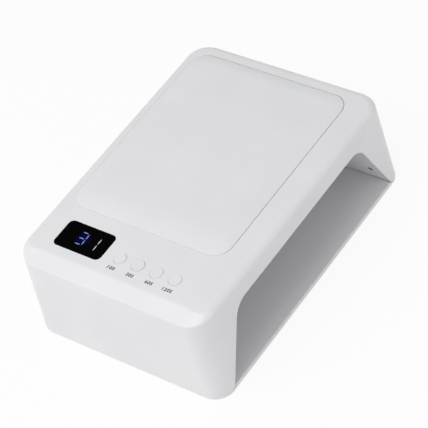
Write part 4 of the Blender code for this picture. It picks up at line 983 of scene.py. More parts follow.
def tracks_group():
    """A board's solder mask: straight copper tracks show through it as paler, slightly raised lines."""
    group = bpy.data.node_groups.new("board_tracks", "ShaderNodeTree")
    face = group.interface
    face.new_socket("Mask Tone", in_out="INPUT", socket_type="NodeSocketColor")
    face.new_socket("Track Tone", in_out="INPUT", socket_type="NodeSocketColor")
    face.new_socket("Tracks per Metre", in_out="INPUT", socket_type="NodeSocketFloat")
    face.new_socket("Tone", in_out="OUTPUT", socket_type="NodeSocketColor")
    face.new_socket("Height", in_out="OUTPUT", socket_type="NodeSocketFloat")
    entry = group.nodes.new("NodeGroupInput")
    result = group.nodes.new("NodeGroupOutput")
    place = group.nodes.new("ShaderNodeTexCoord")
    lines = group.nodes.new("ShaderNodeTexBrick")
    lines.inputs["Mortar Size"].default_value = TRACK_WIDTH
    lines.inputs["Mortar Smooth"].default_value = TRACK_SOFTNESS
    lines.inputs["Brick Width"].default_value = TRACK_LENGTH
    lines.inputs["Row Height"].default_value = TRACK_PITCH
    wire(group, place, "Object", lines, "Vector")
    wire(group, entry, "Tracks per Metre", lines, "Scale")
    wire(group, entry, "Mask Tone", lines, "Color1")
    wire(group, entry, "Mask Tone", lines, "Color2")
    wire(group, entry, "Track Tone", lines, "Mortar")
    wire(group, lines, "Color", result, "Tone")
    wire(group, lines, "Fac", result, "Height")
    return group


board_tracks = tracks_group()


def masked_board(name, mask, track, tracks, roughness):
    """A circuit board's face with its tracks."""
    material = bpy.data.materials.new(name)
    material.use_nodes = True
    tree = material.node_tree
    shader = tree.nodes["Principled BSDF"]
    shader.inputs["Roughness"].default_value = roughness
    surface = tree.nodes.new("ShaderNodeGroup")
    surface.node_tree = board_tracks
    surface.inputs["Mask Tone"].default_value = mask
    surface.inputs["Track Tone"].default_value = track
    surface.inputs["Tracks per Metre"].default_value = tracks
    relief = tree.nodes.new("ShaderNodeBump")
    relief.inputs["Strength"].default_value = TRACK_BUMP
    relief.inputs["Distance"].default_value = TRACK_RELIEF
    wire(tree, surface, "Tone", shader, "Base Color")
    wire(tree, surface, "Height", relief, "Height")
    wire(tree, relief, "Normal", shader, "Normal")
    return material


white_mask = masked_board("white_solder_mask", MASK_LIGHT, MASK_DARK, tracks=60.0, roughness=0.4)
ceramic = moulded(
    "led_ceramic", CERAMIC_LIGHT, CERAMIC_DARK, grains=2000.0, roughness=0.5, spread=0.1, bump=0.1
)
phosphor = moulded(
    "led_phosphor", PHOSPHOR_LIGHT, PHOSPHOR_DARK, grains=3000.0, roughness=0.22, spread=0.08, bump=0.05
)
for name in ("ceiling", "near", "far"):
    span_x, span_y, frame_place = board_frame(name)
    led_low = LINER_WALL + CLEARANCE + LENS_PLATE + CLEARANCE
    board_level = led_low + LED_HEIGHT
    bm = new_shape()
    span_z = (board_level, board_level + BOARD_THICKNESS)
    add_slab(bm, span_x, span_y, span_z, BOARD_CORNER, SLAB_EDGE, frame_place)
    led_board = make_piece("white_led_board_" + name, bm, white_mask)
    if name == "ceiling":
        bm = bmesh.new()
        for node in BOARD_SCREWS:
            radius = SCREW_RADIUS + CLEARANCE
            low_end = board_low.z
            high_end = board_high.z + MM
            profile = [(0.0, low_end), (radius, low_end), (radius, high_end), (0.0, high_end)]
            add_turned(bm, profile, HOLE_SEGMENTS, at(middle(node).x, middle(node).y))
        combine(led_board, bm, "DIFFERENCE")
    bases = new_shape()
    domes = bmesh.new()
    half = LED_SIDE / 2
    dome_low = board_level - LED_BASE
    profile = [(0.0, led_low), (LED_DOME / 3, led_low + LED_DOME / 30)]
    profile += [(LED_DOME * 3 / 4, led_low + LED_DOME / 8), (LED_DOME, dome_low), (0.0, dome_low)]
    for place in light_places(name):
        base_z = (dome_low, board_level)
        add_slab(bases, (-half, half), (-half, half), base_z, SLAB_EDGE * 2, SLAB_EDGE / 4, place)
        add_turned(domes, profile, HOLE_SEGMENTS, place)
    led_bases = make_piece("led_bases_" + name, bases, ceramic)
    led_domes = make_piece("led_domes_" + name, domes, phosphor)
    for piece in (led_board, led_bases, led_domes):
        smooth(piece)
        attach(piece, "housing")
        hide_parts("led_board_" + name)

# Sensor eyes: an emitter and a receiver in dark epoxy, pushed from behind into the liner's slanted walls
# close to the opening. Each has a domed face that stands a little proud of the wall, a flange behind the
# wall and two clipped wires.
EYE_PROUD = 0.2 * MM
EYE_DOME = 1.1 * MM
EYE_DOME_STEPS = 8
EYE_FLANGE = 3.6 * MM
EYE_FLANGE_THICKNESS = 1.0 * MM
EYE_LENGTH = 5.5 * MM
EYE_EDGE = 0.2 * MM
EYE_WIRE = 0.25 * MM
EYE_WIRE_PLACE = 1.27 * MM
EYE_WIRE_LENGTH = 2.5 * MM
EYE_WIRE_SEGMENTS = 12
EPOXY_LIGHT = (0.016, 0.012, 0.018, 1.0)
EPOXY_DARK = (0.010, 0.008, 0.012, 1.0)
EPOXY_SHINE = 0.1
dark_epoxy = moulded(
    "dark_epoxy", EPOXY_LIGHT, EPOXY_DARK, grains=1500.0, roughness=0.10, spread=0.05, bump=0.02
)
dark_epoxy.node_tree.nodes["Principled BSDF"].inputs["Specular IOR Level"].default_value = EPOXY_SHINE
for name, side in (("ir_emitter", -1), ("ir_receiver", 1)):
    place = slope_frame(side, -HALF_WIDTH + EYE_FROM_FRONT, FLOOR + EYE_LIFT)
    flange = LINER_WALL + CLEARANCE
    profile = []
    for step in range(EYE_DOME_STEPS + 1):
        turn = math.pi / 2 * step / EYE_DOME_STEPS
        profile.append((EYE_RADIUS * math.sin(turn), EYE_DOME * (1 - math.cos(turn)) - EYE_PROUD))
    profile += [(EYE_RADIUS, flange), (EYE_FLANGE - EYE_EDGE, flange), (EYE_FLANGE, flange + EYE_EDGE)]
    profile += [(EYE_FLANGE, flange + EYE_FLANGE_THICKNESS), (EYE_RADIUS, flange + EYE_FLANGE_THICKNESS)]
    profile += [(EYE_RADIUS, EYE_LENGTH), (0.0, EYE_LENGTH)]
    bm = bmesh.new()
    add_turned(bm, profile, ROUND_SEGMENTS, place)
    eye = make_piece(name + "_body", bm, dark_epoxy)
    bm = bmesh.new()
    profile = [(0.0, EYE_LENGTH), (EYE_WIRE, EYE_LENGTH)]
    profile += [(EYE_WIRE, EYE_LENGTH + EYE_WIRE_LENGTH), (0.0, EYE_LENGTH + EYE_WIRE_LENGTH)]
    for offset in (-EYE_WIRE_PLACE, EYE_WIRE_PLACE):
        add_turned(bm, profile, EYE_WIRE_SEGMENTS, place @ at(0.0, offset))
    wires = make_piece(name + "_wires", bm, plated_steel)
    for piece, slot in ((eye, "black_parts"), (wires, "screw_steel")):
        smooth(piece)
        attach(piece, "housing")
        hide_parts(name)

# Driver board: a green glass-fibre board on two bosses of the back wall. A wound coil, a capacitor in a
# dark sleeve, a finned aluminium heat sink and a small chip are soldered to the side towards the liner.
BOARD_EDGE = 0.1 * MM
GREEN_MASK = (0.020, 0.120, 0.048, 1.0)
GREEN_TRACK = (0.045, 0.200, 0.085, 1.0)
COIL_RADIUS = 6.0 * MM
COIL_HEIGHT = 6.0 * MM
COIL_FLANGE = 0.9 * MM
COIL_WAIST = 5.2 * MM
COIL_TURNS = 9
CAPACITOR_RADIUS = 4.0 * MM
CAPACITOR_LENGTH = 5.5 * MM
CAPACITOR_CRIMP = 0.25 * MM
CAPACITOR_EDGE = 0.5 * MM
HEAT_SINK = (14.0 * MM, 5.0 * MM, 16.0 * MM)
HEAT_SINK_BACK = 1.4 * MM
HEAT_SINK_FINS = 5
FIN_SHARE = 0.42
CHIP = (5.0 * MM, 4.0 * MM, 1.5 * MM)
CHIP_FROM_COIL = 14.5 * MM
COPPER_LIGHT = (0.62, 0.24, 0.09, 1.0)
COPPER_DARK = (0.46, 0.15, 0.05, 1.0)
FERRITE_LIGHT = (0.050, 0.050, 0.054, 1.0)
FERRITE_DARK = (0.032, 0.032, 0.036, 1.0)
SLEEVE_LIGHT = (0.014, 0.018, 0.040, 1.0)
SLEEVE_DARK = (0.009, 0.012, 0.028, 1.0)
ALUMINIUM_LIGHT = (0.72, 0.73, 0.74, 1.0)
ALUMINIUM_DARK = (0.60, 0.61, 0.63, 1.0)
BLACK_LIGHT = (0.022, 0.022, 0.023, 1.0)
BLACK_DARK = (0.014, 0.014, 0.015, 1.0)
CONTROL_SCREWS = [f"control_board_screw_{number}" for number in range(1, 5)]
DRIVER_SCREWS = [f"driver_board_screw_{number}" for number in (1, 2)]
control_board_low, control_board_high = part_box("control_board")
driver_low, driver_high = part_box("driver_board")
DRIVER_FRONT = driver_high.y - BOARD_THICKNESS


def backwards(x, y, z):
    """A local frame whose Z points to +Y, for what stands out of the back wall."""
    return at(x, y, z) @ Matrix.Rotation(-math.pi / 2, 4, "X")


def cylinder_profile(radius, low, high):
    """The profile of a plain round between two heights."""
    return [(0.0, low), (radius, low), (radius, high), (0.0, high)]


green_mask = masked_board("green_solder_mask", GREEN_MASK, GREEN_TRACK, tracks=90.0, roughness=0.34)
enamelled_copper = brushed(
    "enamelled_copper", COPPER_LIGHT, COPPER_DARK, strokes=1400.0, roughness=0.26, spread=0.1, metallic=0.9
)
ferrite = moulded(
    "ferrite", FERRITE_LIGHT, FERRITE_DARK, grains=3000.0, roughness=0.55, spread=0.15, bump=0.3
)
dark_sleeve = moulded(
    "dark_sleeve", SLEEVE_LIGHT, SLEEVE_DARK, grains=1200.0, roughness=0.30, spread=0.08, bump=0.05
)
aluminium = brushed(
    "aluminium", ALUMINIUM_LIGHT, ALUMINIUM_DARK, strokes=2000.0, roughness=0.30, spread=0.12, metallic=1.0
)
black_plastic = moulded(
    "black_plastic", BLACK_LIGHT, BLACK_DARK, grains=3000.0, roughness=0.42, spread=0.12, bump=0.2
)
driver_middle = (driver_low.z + driver_high.z) / 2
quarter = (driver_high.x - driver_low.x) / 4
bm = new_shape()
upright = backwards(0.0, 0.0, 0.0)
span_z = (-driver_high.z, -driver_low.z)
span_x = (driver_low.x, driver_high.x)
add_slab(bm, span_x, span_z, (DRIVER_FRONT, driver_high.y), BOARD_CORNER, BOARD_EDGE, upright)
driver_board = make_piece("driver_board_laminate", bm, green_mask)
bm = bmesh.new()
for node in DRIVER_SCREWS:
    profile = cylinder_profile(SCREW_RADIUS + CLEARANCE, DRIVER_FRONT - MM, driver_high.y + MM)
    add_turned(bm, profile, HOLE_SEGMENTS, backwards(middle(node).x, 0.0, middle(node).z))
combine(driver_board, bm, "DIFFERENCE")

coil_place = backwards(driver_low.x + quarter, DRIVER_FRONT, driver_middle)
profile = [(0.0, -COIL_HEIGHT), (COIL_RADIUS - BOARD_EDGE, -COIL_HEIGHT)]
profile += [(COIL_RADIUS, BOARD_EDGE - COIL_HEIGHT)]
profile += [(COIL_RADIUS, COIL_FLANGE - COIL_HEIGHT), (COIL_WAIST - MM, COIL_FLANGE - COIL_HEIGHT)]
profile += [(COIL_WAIST - MM, -COIL_FLANGE), (COIL_RADIUS, -COIL_FLANGE), (COIL_RADIUS, 0.0), (0.0, 0.0)]
bm = bmesh.new()
add_turned(bm, profile, ROUND_SEGMENTS, coil_place)
coil_core = make_piece("coil_core", bm, ferrite)
wire_thick = (COIL_HEIGHT - 2 * COIL_FLANGE) / COIL_TURNS
profile = [(COIL_WAIST - MM, COIL_FLANGE - COIL_HEIGHT)]
for turn in range(COIL_TURNS):
    start = COIL_FLANGE - COIL_HEIGHT + wire_thick * turn
    profile += [(COIL_WAIST, start + wire_thick / 8), (COIL_WAIST + wire_thick / 3, start + wire_thick / 2)]
    profile += [(COIL_WAIST, start + wire_thick * 7 / 8)]
profile += [(COIL_WAIST - MM, -COIL_FLANGE)]
bm = bmesh.new()
add_turned(bm, profile + profile[:1], ROUND_SEGMENTS, coil_place)
coil_winding = make_piece("coil_winding", bm, enamelled_copper)

capacitor_place = backwards(driver_low.x + 2 * quarter, DRIVER_FRONT, driver_middle)
rim = CAPACITOR_EDGE - CAPACITOR_LENGTH
vent = SLAB_EDGE - CAPACITOR_LENGTH
profile = [(0.0, vent), (CAPACITOR_RADIUS - 2 * CAPACITOR_EDGE, vent)]
profile += [(CAPACITOR_RADIUS - 2 * CAPACITOR_EDGE, -CAPACITOR_LENGTH)]
profile += arc(CAPACITOR_RADIUS - CAPACITOR_EDGE, rim, CAPACITOR_EDGE, -90, 0)
profile += [(CAPACITOR_RADIUS, -3 * CAPACITOR_EDGE)]
profile += [(CAPACITOR_RADIUS - CAPACITOR_CRIMP, -2 * CAPACITOR_EDGE)]
profile += [(CAPACITOR_RADIUS, -CAPACITOR_EDGE), (CAPACITOR_RADIUS, 0.0), (0.0, 0.0)]
bm = bmesh.new()
add_turned(bm, profile, ROUND_SEGMENTS, capacitor_place)
capacitor = make_piece("capacitor_sleeve", bm, dark_sleeve)
bm = bmesh.new()
can_top = CAPACITOR_RADIUS - 2 * CAPACITOR_EDGE
profile = cylinder_profile(can_top, SLAB_EDGE / 2 - CAPACITOR_LENGTH, SLAB_EDGE - CAPACITOR_LENGTH)
add_turned(bm, profile, ROUND_SEGMENTS, capacitor_place)
capacitor_top = make_piece("capacitor_can_top", bm, aluminium)

sink_x = driver_low.x + 3 * quarter - HEAT_SINK[0] / 2
sink_front = DRIVER_FRONT - HEAT_SINK[1]
fin_pitch = HEAT_SINK[0] / (HEAT_SINK_FINS - 1 + FIN_SHARE)
comb = [Vector((sink_x + HEAT_SINK[0], DRIVER_FRONT, 0.0)), Vector((sink_x, DRIVER_FRONT, 0.0))]
for fin in range(HEAT_SINK_FINS):
    start = sink_x + fin_pitch * fin
    end = start + fin_pitch * FIN_SHARE
    if fin:
        comb.append(Vector((start, DRIVER_FRONT - HEAT_SINK_BACK, 0.0)))
    comb += [Vector((start, sink_front, 0.0)), Vector((end, sink_front, 0.0))]
    if fin < HEAT_SINK_FINS - 1:
        comb.append(Vector((end, DRIVER_FRONT - HEAT_SINK_BACK, 0.0)))
bm = new_shape()
sink_low = driver_middle - HEAT_SINK[2] / 2
sink_high = driver_middle + HEAT_SINK[2] / 2
places = [level(sink_low, -BOARD_EDGE), level(sink_low + BOARD_EDGE)]
places += [level(sink_high - BOARD_EDGE), level(sink_high, -BOARD_EDGE)]
add_solid(bm, comb, [0] * len(comb), PLAN_AXIS, places)
heat_sink = make_piece("heat_sink", bm, aluminium)


def add_chip(bm, size, pins, place):
    """A packaged chip on the local XY plane, with a row of bent pins along both long sides."""
    half_x, half_y, high = size[0] / 2, size[1] / 2, size[2]
    add_slab(bm, (-half_x, half_x), (-half_y, half_y), (SLAB_EDGE, high), SLAB_EDGE, SLAB_EDGE, place)
    pitch = size[0] / pins
    for side in (-1, 1):
        for pin in range(pins):
            x = -half_x + pitch * (pin + 1 / 2)
            reach = sorted((side * (half_y - SLAB_EDGE), side * (half_y + pitch / 2)))
            add_slab(bm, (x - pitch / 6, x + pitch / 6), reach, (0.0, high / 2), 0, BOARD_EDGE / 2, place)


bm = new_shape()
chip_x = driver_low.x + quarter + CHIP_FROM_COIL / 2
chip_place = at(chip_x, DRIVER_FRONT, driver_high.z - CHIP_FROM_COIL / 2)
add_chip(bm, CHIP, 4, chip_place @ Matrix.Rotation(math.pi / 2, 4, "X"))
driver_chip = make_piece("driver_chip", bm, black_plastic)
DRIVER_PIECES = (
    (driver_board, "circuit_board"),
    (coil_core, "black_parts"),
    (coil_winding, "circuit_board"),
    (capacitor, "black_parts"),
    (capacitor_top, "screw_steel"),
    (heat_sink, "screw_steel"),
    (driver_chip, "black_parts"),
)
for piece, slot in DRIVER_PIECES:
    smooth(piece)
    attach(piece, "housing")
    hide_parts("driver_board")

# DC inlet: a black moulded block behind the back wall, whose barrel ends flush with the wall. A plated pin
# stands in the middle of its bore for the plug of the power supply.
INLET_BODY = (9.0 * MM, 11.0 * MM, 12.5 * MM)
INLET_BARREL = 4.0 * MM
INLET_BORE = 2.9 * MM
INLET_BORE_DEPTH = 9.5 * MM
INLET_PIN = 1.0 * MM
PIN_SINK = 2.0 * MM
INLET_EDGE = 0.4 * MM
INLET_LIP = 0.3 * MM
inlet_low, inlet_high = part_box("dc_inlet")
inlet_x = (inlet_low.x + inlet_high.x) / 2
inlet_z = (inlet_low.z + inlet_high.z) / 2
inlet_place = backwards(inlet_x, 0.0, inlet_z)
body_back = inlet_low.y + INLET_BODY[2]
half_x, half_z = INLET_BODY[0] / 2, INLET_BODY[1] / 2
bm = new_shape()
span_y = (inlet_low.y, body_back)
add_slab(bm, (-half_x, half_x), (-half_z, half_z), span_y, INLET_EDGE, INLET_EDGE / 2, inlet_place)
inlet = make_piece("dc_inlet_body", bm, black_plastic)
bm = bmesh.new()
profile = [(0.0, body_back - MM), (INLET_BARREL, body_back - MM)]
profile += arc(INLET_BARREL - INLET_LIP, inlet_high.y - INLET_LIP, INLET_LIP, 0, 90) + [(0.0, inlet_high.y)]
add_turned(bm, profile, ROUND_SEGMENTS, inlet_place)
combine(inlet, bm, "UNION")
bore_end = inlet_high.y - INLET_BORE_DEPTH
bm = bmesh.new()
profile = [(0.0, bore_end), (INLET_BORE, bore_end)]
profile += arc(INLET_BORE + INLET_LIP, inlet_high.y - INLET_LIP, INLET_LIP, 180, LIP_END)
profile += [(INLET_BORE + INLET_LIP, inlet_high.y + MM), (0.0, inlet_high.y + MM)]
add_turned(bm, profile, ROUND_SEGMENTS, inlet_place)
combine(inlet, bm, "DIFFERENCE")
bm = bmesh.new()
pin_end = inlet_high.y - PIN_SINK
profile = [(0.0, bore_end), (INLET_PIN, bore_end)] + arc(0.0, pin_end - INLET_PIN, INLET_PIN, 0, 90)
profile[-1] = (0.0, pin_end)
add_turned(bm, profile, HOLE_SEGMENTS, inlet_place)
inlet_pin = make_piece("dc_inlet_pin", bm, plated_steel)
for piece, slot in ((inlet, "black_parts"), (inlet_pin, "screw_steel")):
    smooth(piece)
    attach(piece, "housing")
    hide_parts("dc_inlet")

# Leads: pairs of PVC-insulated wires, lightly twisted, that run between the inlet, the driver board, the
# control board and the LED boards in the space round the liner. They are soldered at both ends.
LEAD_STUB = 6.0 * MM
LEAD_LIFT = 4.0 * MM
LEAD_RADIUS = 1.2 * MM
STRAND = 0.56 * MM
INLET_STRAND = 0.75 * MM
STRAND_APART = 1.04
LEAD_TURN = 16.0 * MM
LEAD_STEPS = 22
HIGH_CORNER_SHARE = 0.85
LOW_CORNER_SHARE = 0.35
PVC_RED = ((0.50, 0.015, 0.012, 1.0), (0.42, 0.012, 0.010, 1.0))
PVC_BLACK = ((0.020, 0.020, 0.020, 1.0), (0.013, 0.013, 0.014, 1.0))
PVC_GREY = ((0.55, 0.55, 0.56, 1.0), (0.47, 0.47, 0.49, 1.0))
pvc = {
    "lead_red": moulded("red_pvc", *PVC_RED, grains=1500.0, roughness=0.40, spread=0.08, bump=0.05),
    "lead_black": moulded(
        "black_pvc", *PVC_BLACK, grains=1500.0, roughness=0.42, spread=0.08, bump=0.05
    ),
    "lead_grey": moulded("grey_pvc", *PVC_GREY, grains=1500.0, roughness=0.44, spread=0.08, bump=0.05),
}


def smooth_route(points, count):
    """Points along a Catmull-Rom curve through the route's inner points, with a straight run at each end."""
    route = [Vector(point) for point in points]
    spans = len(route) - 3
    walked = [route[0]]
    for step in range(count + 1):
        place = spans * step / count
        span = min(int(place), spans - 1)
        part = place - span
        before, start, end, after = route[span : span + 4]
        walked.append(
            start
            + (end - before) * (part / 2)
            + (before * 2 - start * 5 + end * 4 - after) * (part**2 / 2)
            + (start * 3 - before - end * 3 + after) * (part**3 / 2)
        )
    walked.append(route[-1])
    return walked


def twisted(route, offset, phase):
    """The middle of a strand that winds round a route."""
    side = Vector((0.0, 0.0, 1.0))
    turn = phase
    strand = []
    for index, point in enumerate(route):
        ahead = (route[min(index + 1, len(route) - 1)] - route[max(index - 1, 0)]).normalized()
        side = (side - ahead * side.dot(ahead)).normalized()
        if index:
            turn += 2 * math.pi * (point - route[index - 1]).length / LEAD_TURN
        strand.append(point + (side * math.cos(turn) + ahead.cross(side) * math.sin(turn)) * offset)
    return strand


def add_lead(node, route, strand_radius, slots):
    """A lead of several strands, each a tube in its own colour."""
    walked = smooth_route(route, LEAD_STEPS * (len(route) - 3))
    for number, slot in enumerate(slots):
        path = twisted(walked, strand_radius * STRAND_APART, 2 * math.pi * number / len(slots))
        curve = bpy.data.curves.new(node, "CURVE")
        curve.dimensions = "3D"
        curve.bevel_depth = strand_radius
        curve.bevel_resolution = 3
        curve.use_fill_caps = True
        spline = curve.splines.new("POLY")
        spline.points.add(len(path) - 1)
        for point, place in zip(spline.points, path):
            point.co = (*place, 1.0)
        line = bpy.data.objects.new(node, curve)
        mesh = bpy.data.meshes.new_from_object(line)
        bpy.data.objects.remove(line, do_unlink=True)
        mesh.materials.clear()
        mesh.materials.append(pvc[slot])
        strand = bpy.data.objects.new(f"{node}_strand_{number + 1}", mesh)
        bpy.context.scene.collection.objects.link(strand)
        smooth(strand)
        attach(strand, "housing")
        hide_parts(node)


def shoulder(share, offset):
    """A point off the liner's outside, a share of the way up its upper corner."""
    turn = (math.pi / 2 - LEAN) * share
    reach = CAVITY_CORNER + offset
    centre = slope_x(CEILING - CAVITY_CORNER, -CAVITY_CORNER)
    return (
        centre + reach * math.cos(LEAN + turn),
        CEILING - CAVITY_CORNER + reach * math.sin(LEAN + turn),
    )


driver_y = (DRIVER_FRONT + driver_high.y) / 2
inlet_side = inlet_high.x + CLEARANCE
driver_side = driver_low.x - CLEARANCE
inlet_y = (inlet_low.y + body_back) / 2
low_z = driver_low.z + COIL_RADIUS
INLET_ROUTE = (
    (inlet_side, inlet_y, inlet_z),
    (inlet_side + LEAD_STUB, inlet_y, inlet_z),
    ((inlet_side + driver_side) / 2, (inlet_y + driver_y) / 2, (inlet_z + low_z) / 2 - LEAD_STUB),
    (driver_side - LEAD_STUB, driver_y, low_z),
    (driver_side, driver_y, low_z),
)
add_lead("inlet_lead", INLET_ROUTE, INLET_STRAND, ("lead_black", "lead_red"))
over_liner = LINER_TOP + LEAD_LIFT
back_run = (LED_Y[1] + CAVITY_BACK) / 2
driver_top = driver_high.z + CLEARANCE
control_side = control_board_high.x + CLEARANCE
board_middle = control_board_high.z - BOARD_THICKNESS / 2
start_x = driver_low.x + COIL_RADIUS
CONTROL_ROUTE = (
    (start_x, driver_y, driver_top),
    (start_x, driver_y, driver_top + LEAD_STUB),
    (start_x - LEAD_STUB, (driver_y + back_run) / 2 + LEAD_STUB / 2, over_liner + LEAD_STUB / 2),
    (start_x - 4 * LEAD_STUB, back_run, over_liner),
    ((start_x + control_side) / 2, back_run, over_liner),
    (control_side + 2 * LEAD_STUB, back_run, over_liner + LEAD_LIFT / 2),
    (control_side + LEAD_STUB / 2, back_run, board_middle),
    (control_side, back_run, board_middle),
)
add_lead("control_lead", CONTROL_ROUTE, STRAND, ("lead_grey", "lead_grey"))
led_middle = board_low.z + LED_HEIGHT + BOARD_THICKNESS / 2
start_x = (driver_low.x + driver_high.x) / 2
CEILING_ROUTE = (
    (start_x, driver_y, driver_top),
    (start_x, driver_y, driver_top + LEAD_STUB),
    (start_x, (driver_y + back_run) / 2 + LEAD_STUB / 2, over_liner + LEAD_STUB / 2),
    (start_x, back_run, led_middle),
    (start_x, LED_Y[1] + LEAD_STUB / 2, led_middle),
    (start_x, LED_Y[1] + CLEARANCE, led_middle),
)
add_lead("led_lead_ceiling", CEILING_ROUTE, STRAND, ("lead_red", "lead_black"))
slope_middle = LINER_WALL + 2 * CLEARANCE + LENS_PLATE + LED_HEIGHT + BOARD_THICKNESS / 2
lead_y = sum(LED_Y) / 2 + LEAD_STUB
over_corner = LINER_WALL + LEAD_RADIUS + 2 * CLEARANCE
high_x, high_z = shoulder(HIGH_CORNER_SHARE, over_corner)
low_x, low_corner_z = shoulder(LOW_CORNER_SHARE, over_corner)
for name, side in (("near", -1), ("far", 1)):
    frame_place = slope_frame(side, lead_y, SLOPE_BOARD_Z)
    ceiling_end = side * (board_high.x + CLEARANCE)
    slope_route = (
        (ceiling_end, lead_y, led_middle),
        (ceiling_end + side * LEAD_STUB / 3, lead_y, led_middle),
        (side * high_x, lead_y, high_z),
        (side * low_x, lead_y, low_corner_z),
        frame_place @ Vector((SLOPE_BOARD_HEIGHT + LEAD_STUB / 2, 0.0, slope_middle)),
        frame_place @ Vector((SLOPE_BOARD_HEIGHT + CLEARANCE, 0.0, slope_middle)),
    )
    add_lead("led_lead_" + name, slope_route, STRAND, ("lead_red", "lead_black"))

# Control board: a green glass-fibre board that hangs from four bosses under the panel. It carries the
# display module and the switches on top, and two black chips below.
CHIP_SIDE = 7.0 * MM
CHIP_HEIGHT = 1.6 * MM
CHIP_PINS = 8
TIMES = ("10s", "30s", "60s", "120s")
BUTTON_PLACES = {time: middle("button_" + time).xy for time in TIMES}
control_bottom = control_board_high.z - BOARD_THICKNESS
bm = new_shape()
span_x = (control_board_low.x, control_board_high.x)
span_y = (control_board_low.y, control_board_high.y)
add_slab(bm, span_x, span_y, (control_bottom, control_board_high.z), BOARD_CORNER, BOARD_EDGE)
control_board = make_piece("control_board_laminate", bm, green_mask)
bm = bmesh.new()
for node in CONTROL_SCREWS:
    profile = cylinder_profile(SCREW_RADIUS + CLEARANCE, control_bottom - MM, control_board_high.z + MM)
    add_turned(bm, profile, HOLE_SEGMENTS, at(*middle(node).xy))
combine(control_board, bm, "DIFFERENCE")
bm = new_shape()
for time in ("10s", "60s"):
    chip_place = at(*BUTTON_PLACES[time], control_bottom) @ Matrix.Rotation(math.pi, 4, "X")
    add_chip(bm, (CHIP_SIDE, CHIP_SIDE - MM, CHIP_HEIGHT), CHIP_PINS, chip_place)
control_chips = make_piece("control_chips", bm, black_plastic)
for piece, slot in ((control_board, "circuit_board"), (control_chips, "black_parts")):
    smooth(piece)
    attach(piece, "housing")
    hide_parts("control_board")

# Switches: four push switches soldered to the control board, each a black nylon block under a crimped steel
# lid. A white nylon plunger on a dome spring stands out of each lid, and goes down with its button.
LID = 0.3 * MM
LID_INSET = 0.15 * MM
PLUNGER_RADIUS = 1.6 * MM
PLUNGER_EDGE = 0.25 * MM
NYLON_LIGHT = (0.76, 0.76, 0.75, 1.0)
NYLON_DARK = (0.70, 0.70, 0.69, 1.0)
white_nylon = moulded(
    "white_nylon", NYLON_LIGHT, NYLON_DARK, grains=2600.0, roughness=0.40, spread=0.08, bump=0.1
)
for time in TIMES:
    low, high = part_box("switch_" + time)
    x, y = BUTTON_PLACES[time]
    half = (high.x - low.x) / 2
    bm = new_shape()
    add_slab(bm, (-half, half), (-half, half), (low.z, high.z - LID), SLAB_EDGE, BOARD_EDGE, at(x, y))
    block = make_piece("switch_block_" + time, bm, black_plastic)
    lid_half = half - LID_INSET
    bm = new_shape()
    span_z = (high.z - LID, high.z)
    add_slab(bm, (-lid_half, lid_half), (-lid_half, lid_half), span_z, SLAB_EDGE, BOARD_EDGE / 2, at(x, y))
    lid = make_piece("switch_lid_" + time, bm, plated_steel)
    plunger_low, plunger_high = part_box("plunger_" + time)
    for piece in (block, lid):
        bm = bmesh.new()
        profile = cylinder_profile(PLUNGER_RADIUS + CLEARANCE, low.z + MM / 2, high.z + MM)
        add_turned(bm, profile, HOLE_SEGMENTS, at(x, y))
        combine(piece, bm, "DIFFERENCE")
    bm = bmesh.new()
    profile = cylinder_profile(PLUNGER_RADIUS, plunger_low.z, plunger_high.z)[:2]
    profile += arc(PLUNGER_RADIUS - PLUNGER_EDGE, plunger_high.z - PLUNGER_EDGE, PLUNGER_EDGE, 0, 90)
    profile += [(0.0, plunger_high.z)]
    add_turned(bm, profile, HOLE_SEGMENTS, at(x, y))
    plunger = make_piece("nylon_plunger_" + time, bm, white_nylon)
    for piece, body, node, slot in (
        (block, "housing", "switch_", "black_parts"),
        (lid, "housing", "switch_", "screw_steel"),
        (plunger, "button_" + time, "plunger_", "plunger_white"),
    ):
        smooth(piece)
        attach(piece, body)
        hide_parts(node + time)

# Display module: a black plastic block soldered to the control board, which reaches up into the window's
# frame. Three pale faces, one for each figure, are moulded into its top.
MODULE_EDGE = 0.3 * MM
FACE_PITCH = 11.5 * MM
FACE = (13.4 * MM, 8.4 * MM)
FACE_THICKNESS = 0.2 * MM
FACE_LIGHT = (0.30, 0.30, 0.31, 1.0)
FACE_DARK = (0.24, 0.24, 0.25, 1.0)
module_low, module_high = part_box("display_module")
module_x, module_y = middle("display_module").xy
bm = new_shape()
span_x = (module_low.x, module_high.x)
span_y = (module_low.y, module_high.y)
add_slab(bm, span_x, span_y, (module_low.z, module_high.z - FACE_THICKNESS), SLAB_EDGE, MODULE_EDGE)
module = make_piece("display_module_block", bm, black_plastic)
bm = new_shape()
for cell in (-1, 0, 1):
    span_x = (module_x - FACE[0] / 2, module_x + FACE[0] / 2)
    cell_y = module_y + cell * FACE_PITCH
    span_y = (cell_y - FACE[1] / 2, cell_y + FACE[1] / 2)
    add_slab(bm, span_x, span_y, (module_high.z - FACE_THICKNESS, module_high.z), SLAB_EDGE, BOARD_EDGE / 2)
milky_faces = moulded(
    "figure_faces", FACE_LIGHT, FACE_DARK, grains=1500.0, roughness=0.3, spread=0.1, bump=0.05
)
faces = make_piece("display_figure_faces", bm, milky_faces)
for piece in (module, faces):
    smooth(piece)
    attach(piece, "housing")
    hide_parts("display_module")

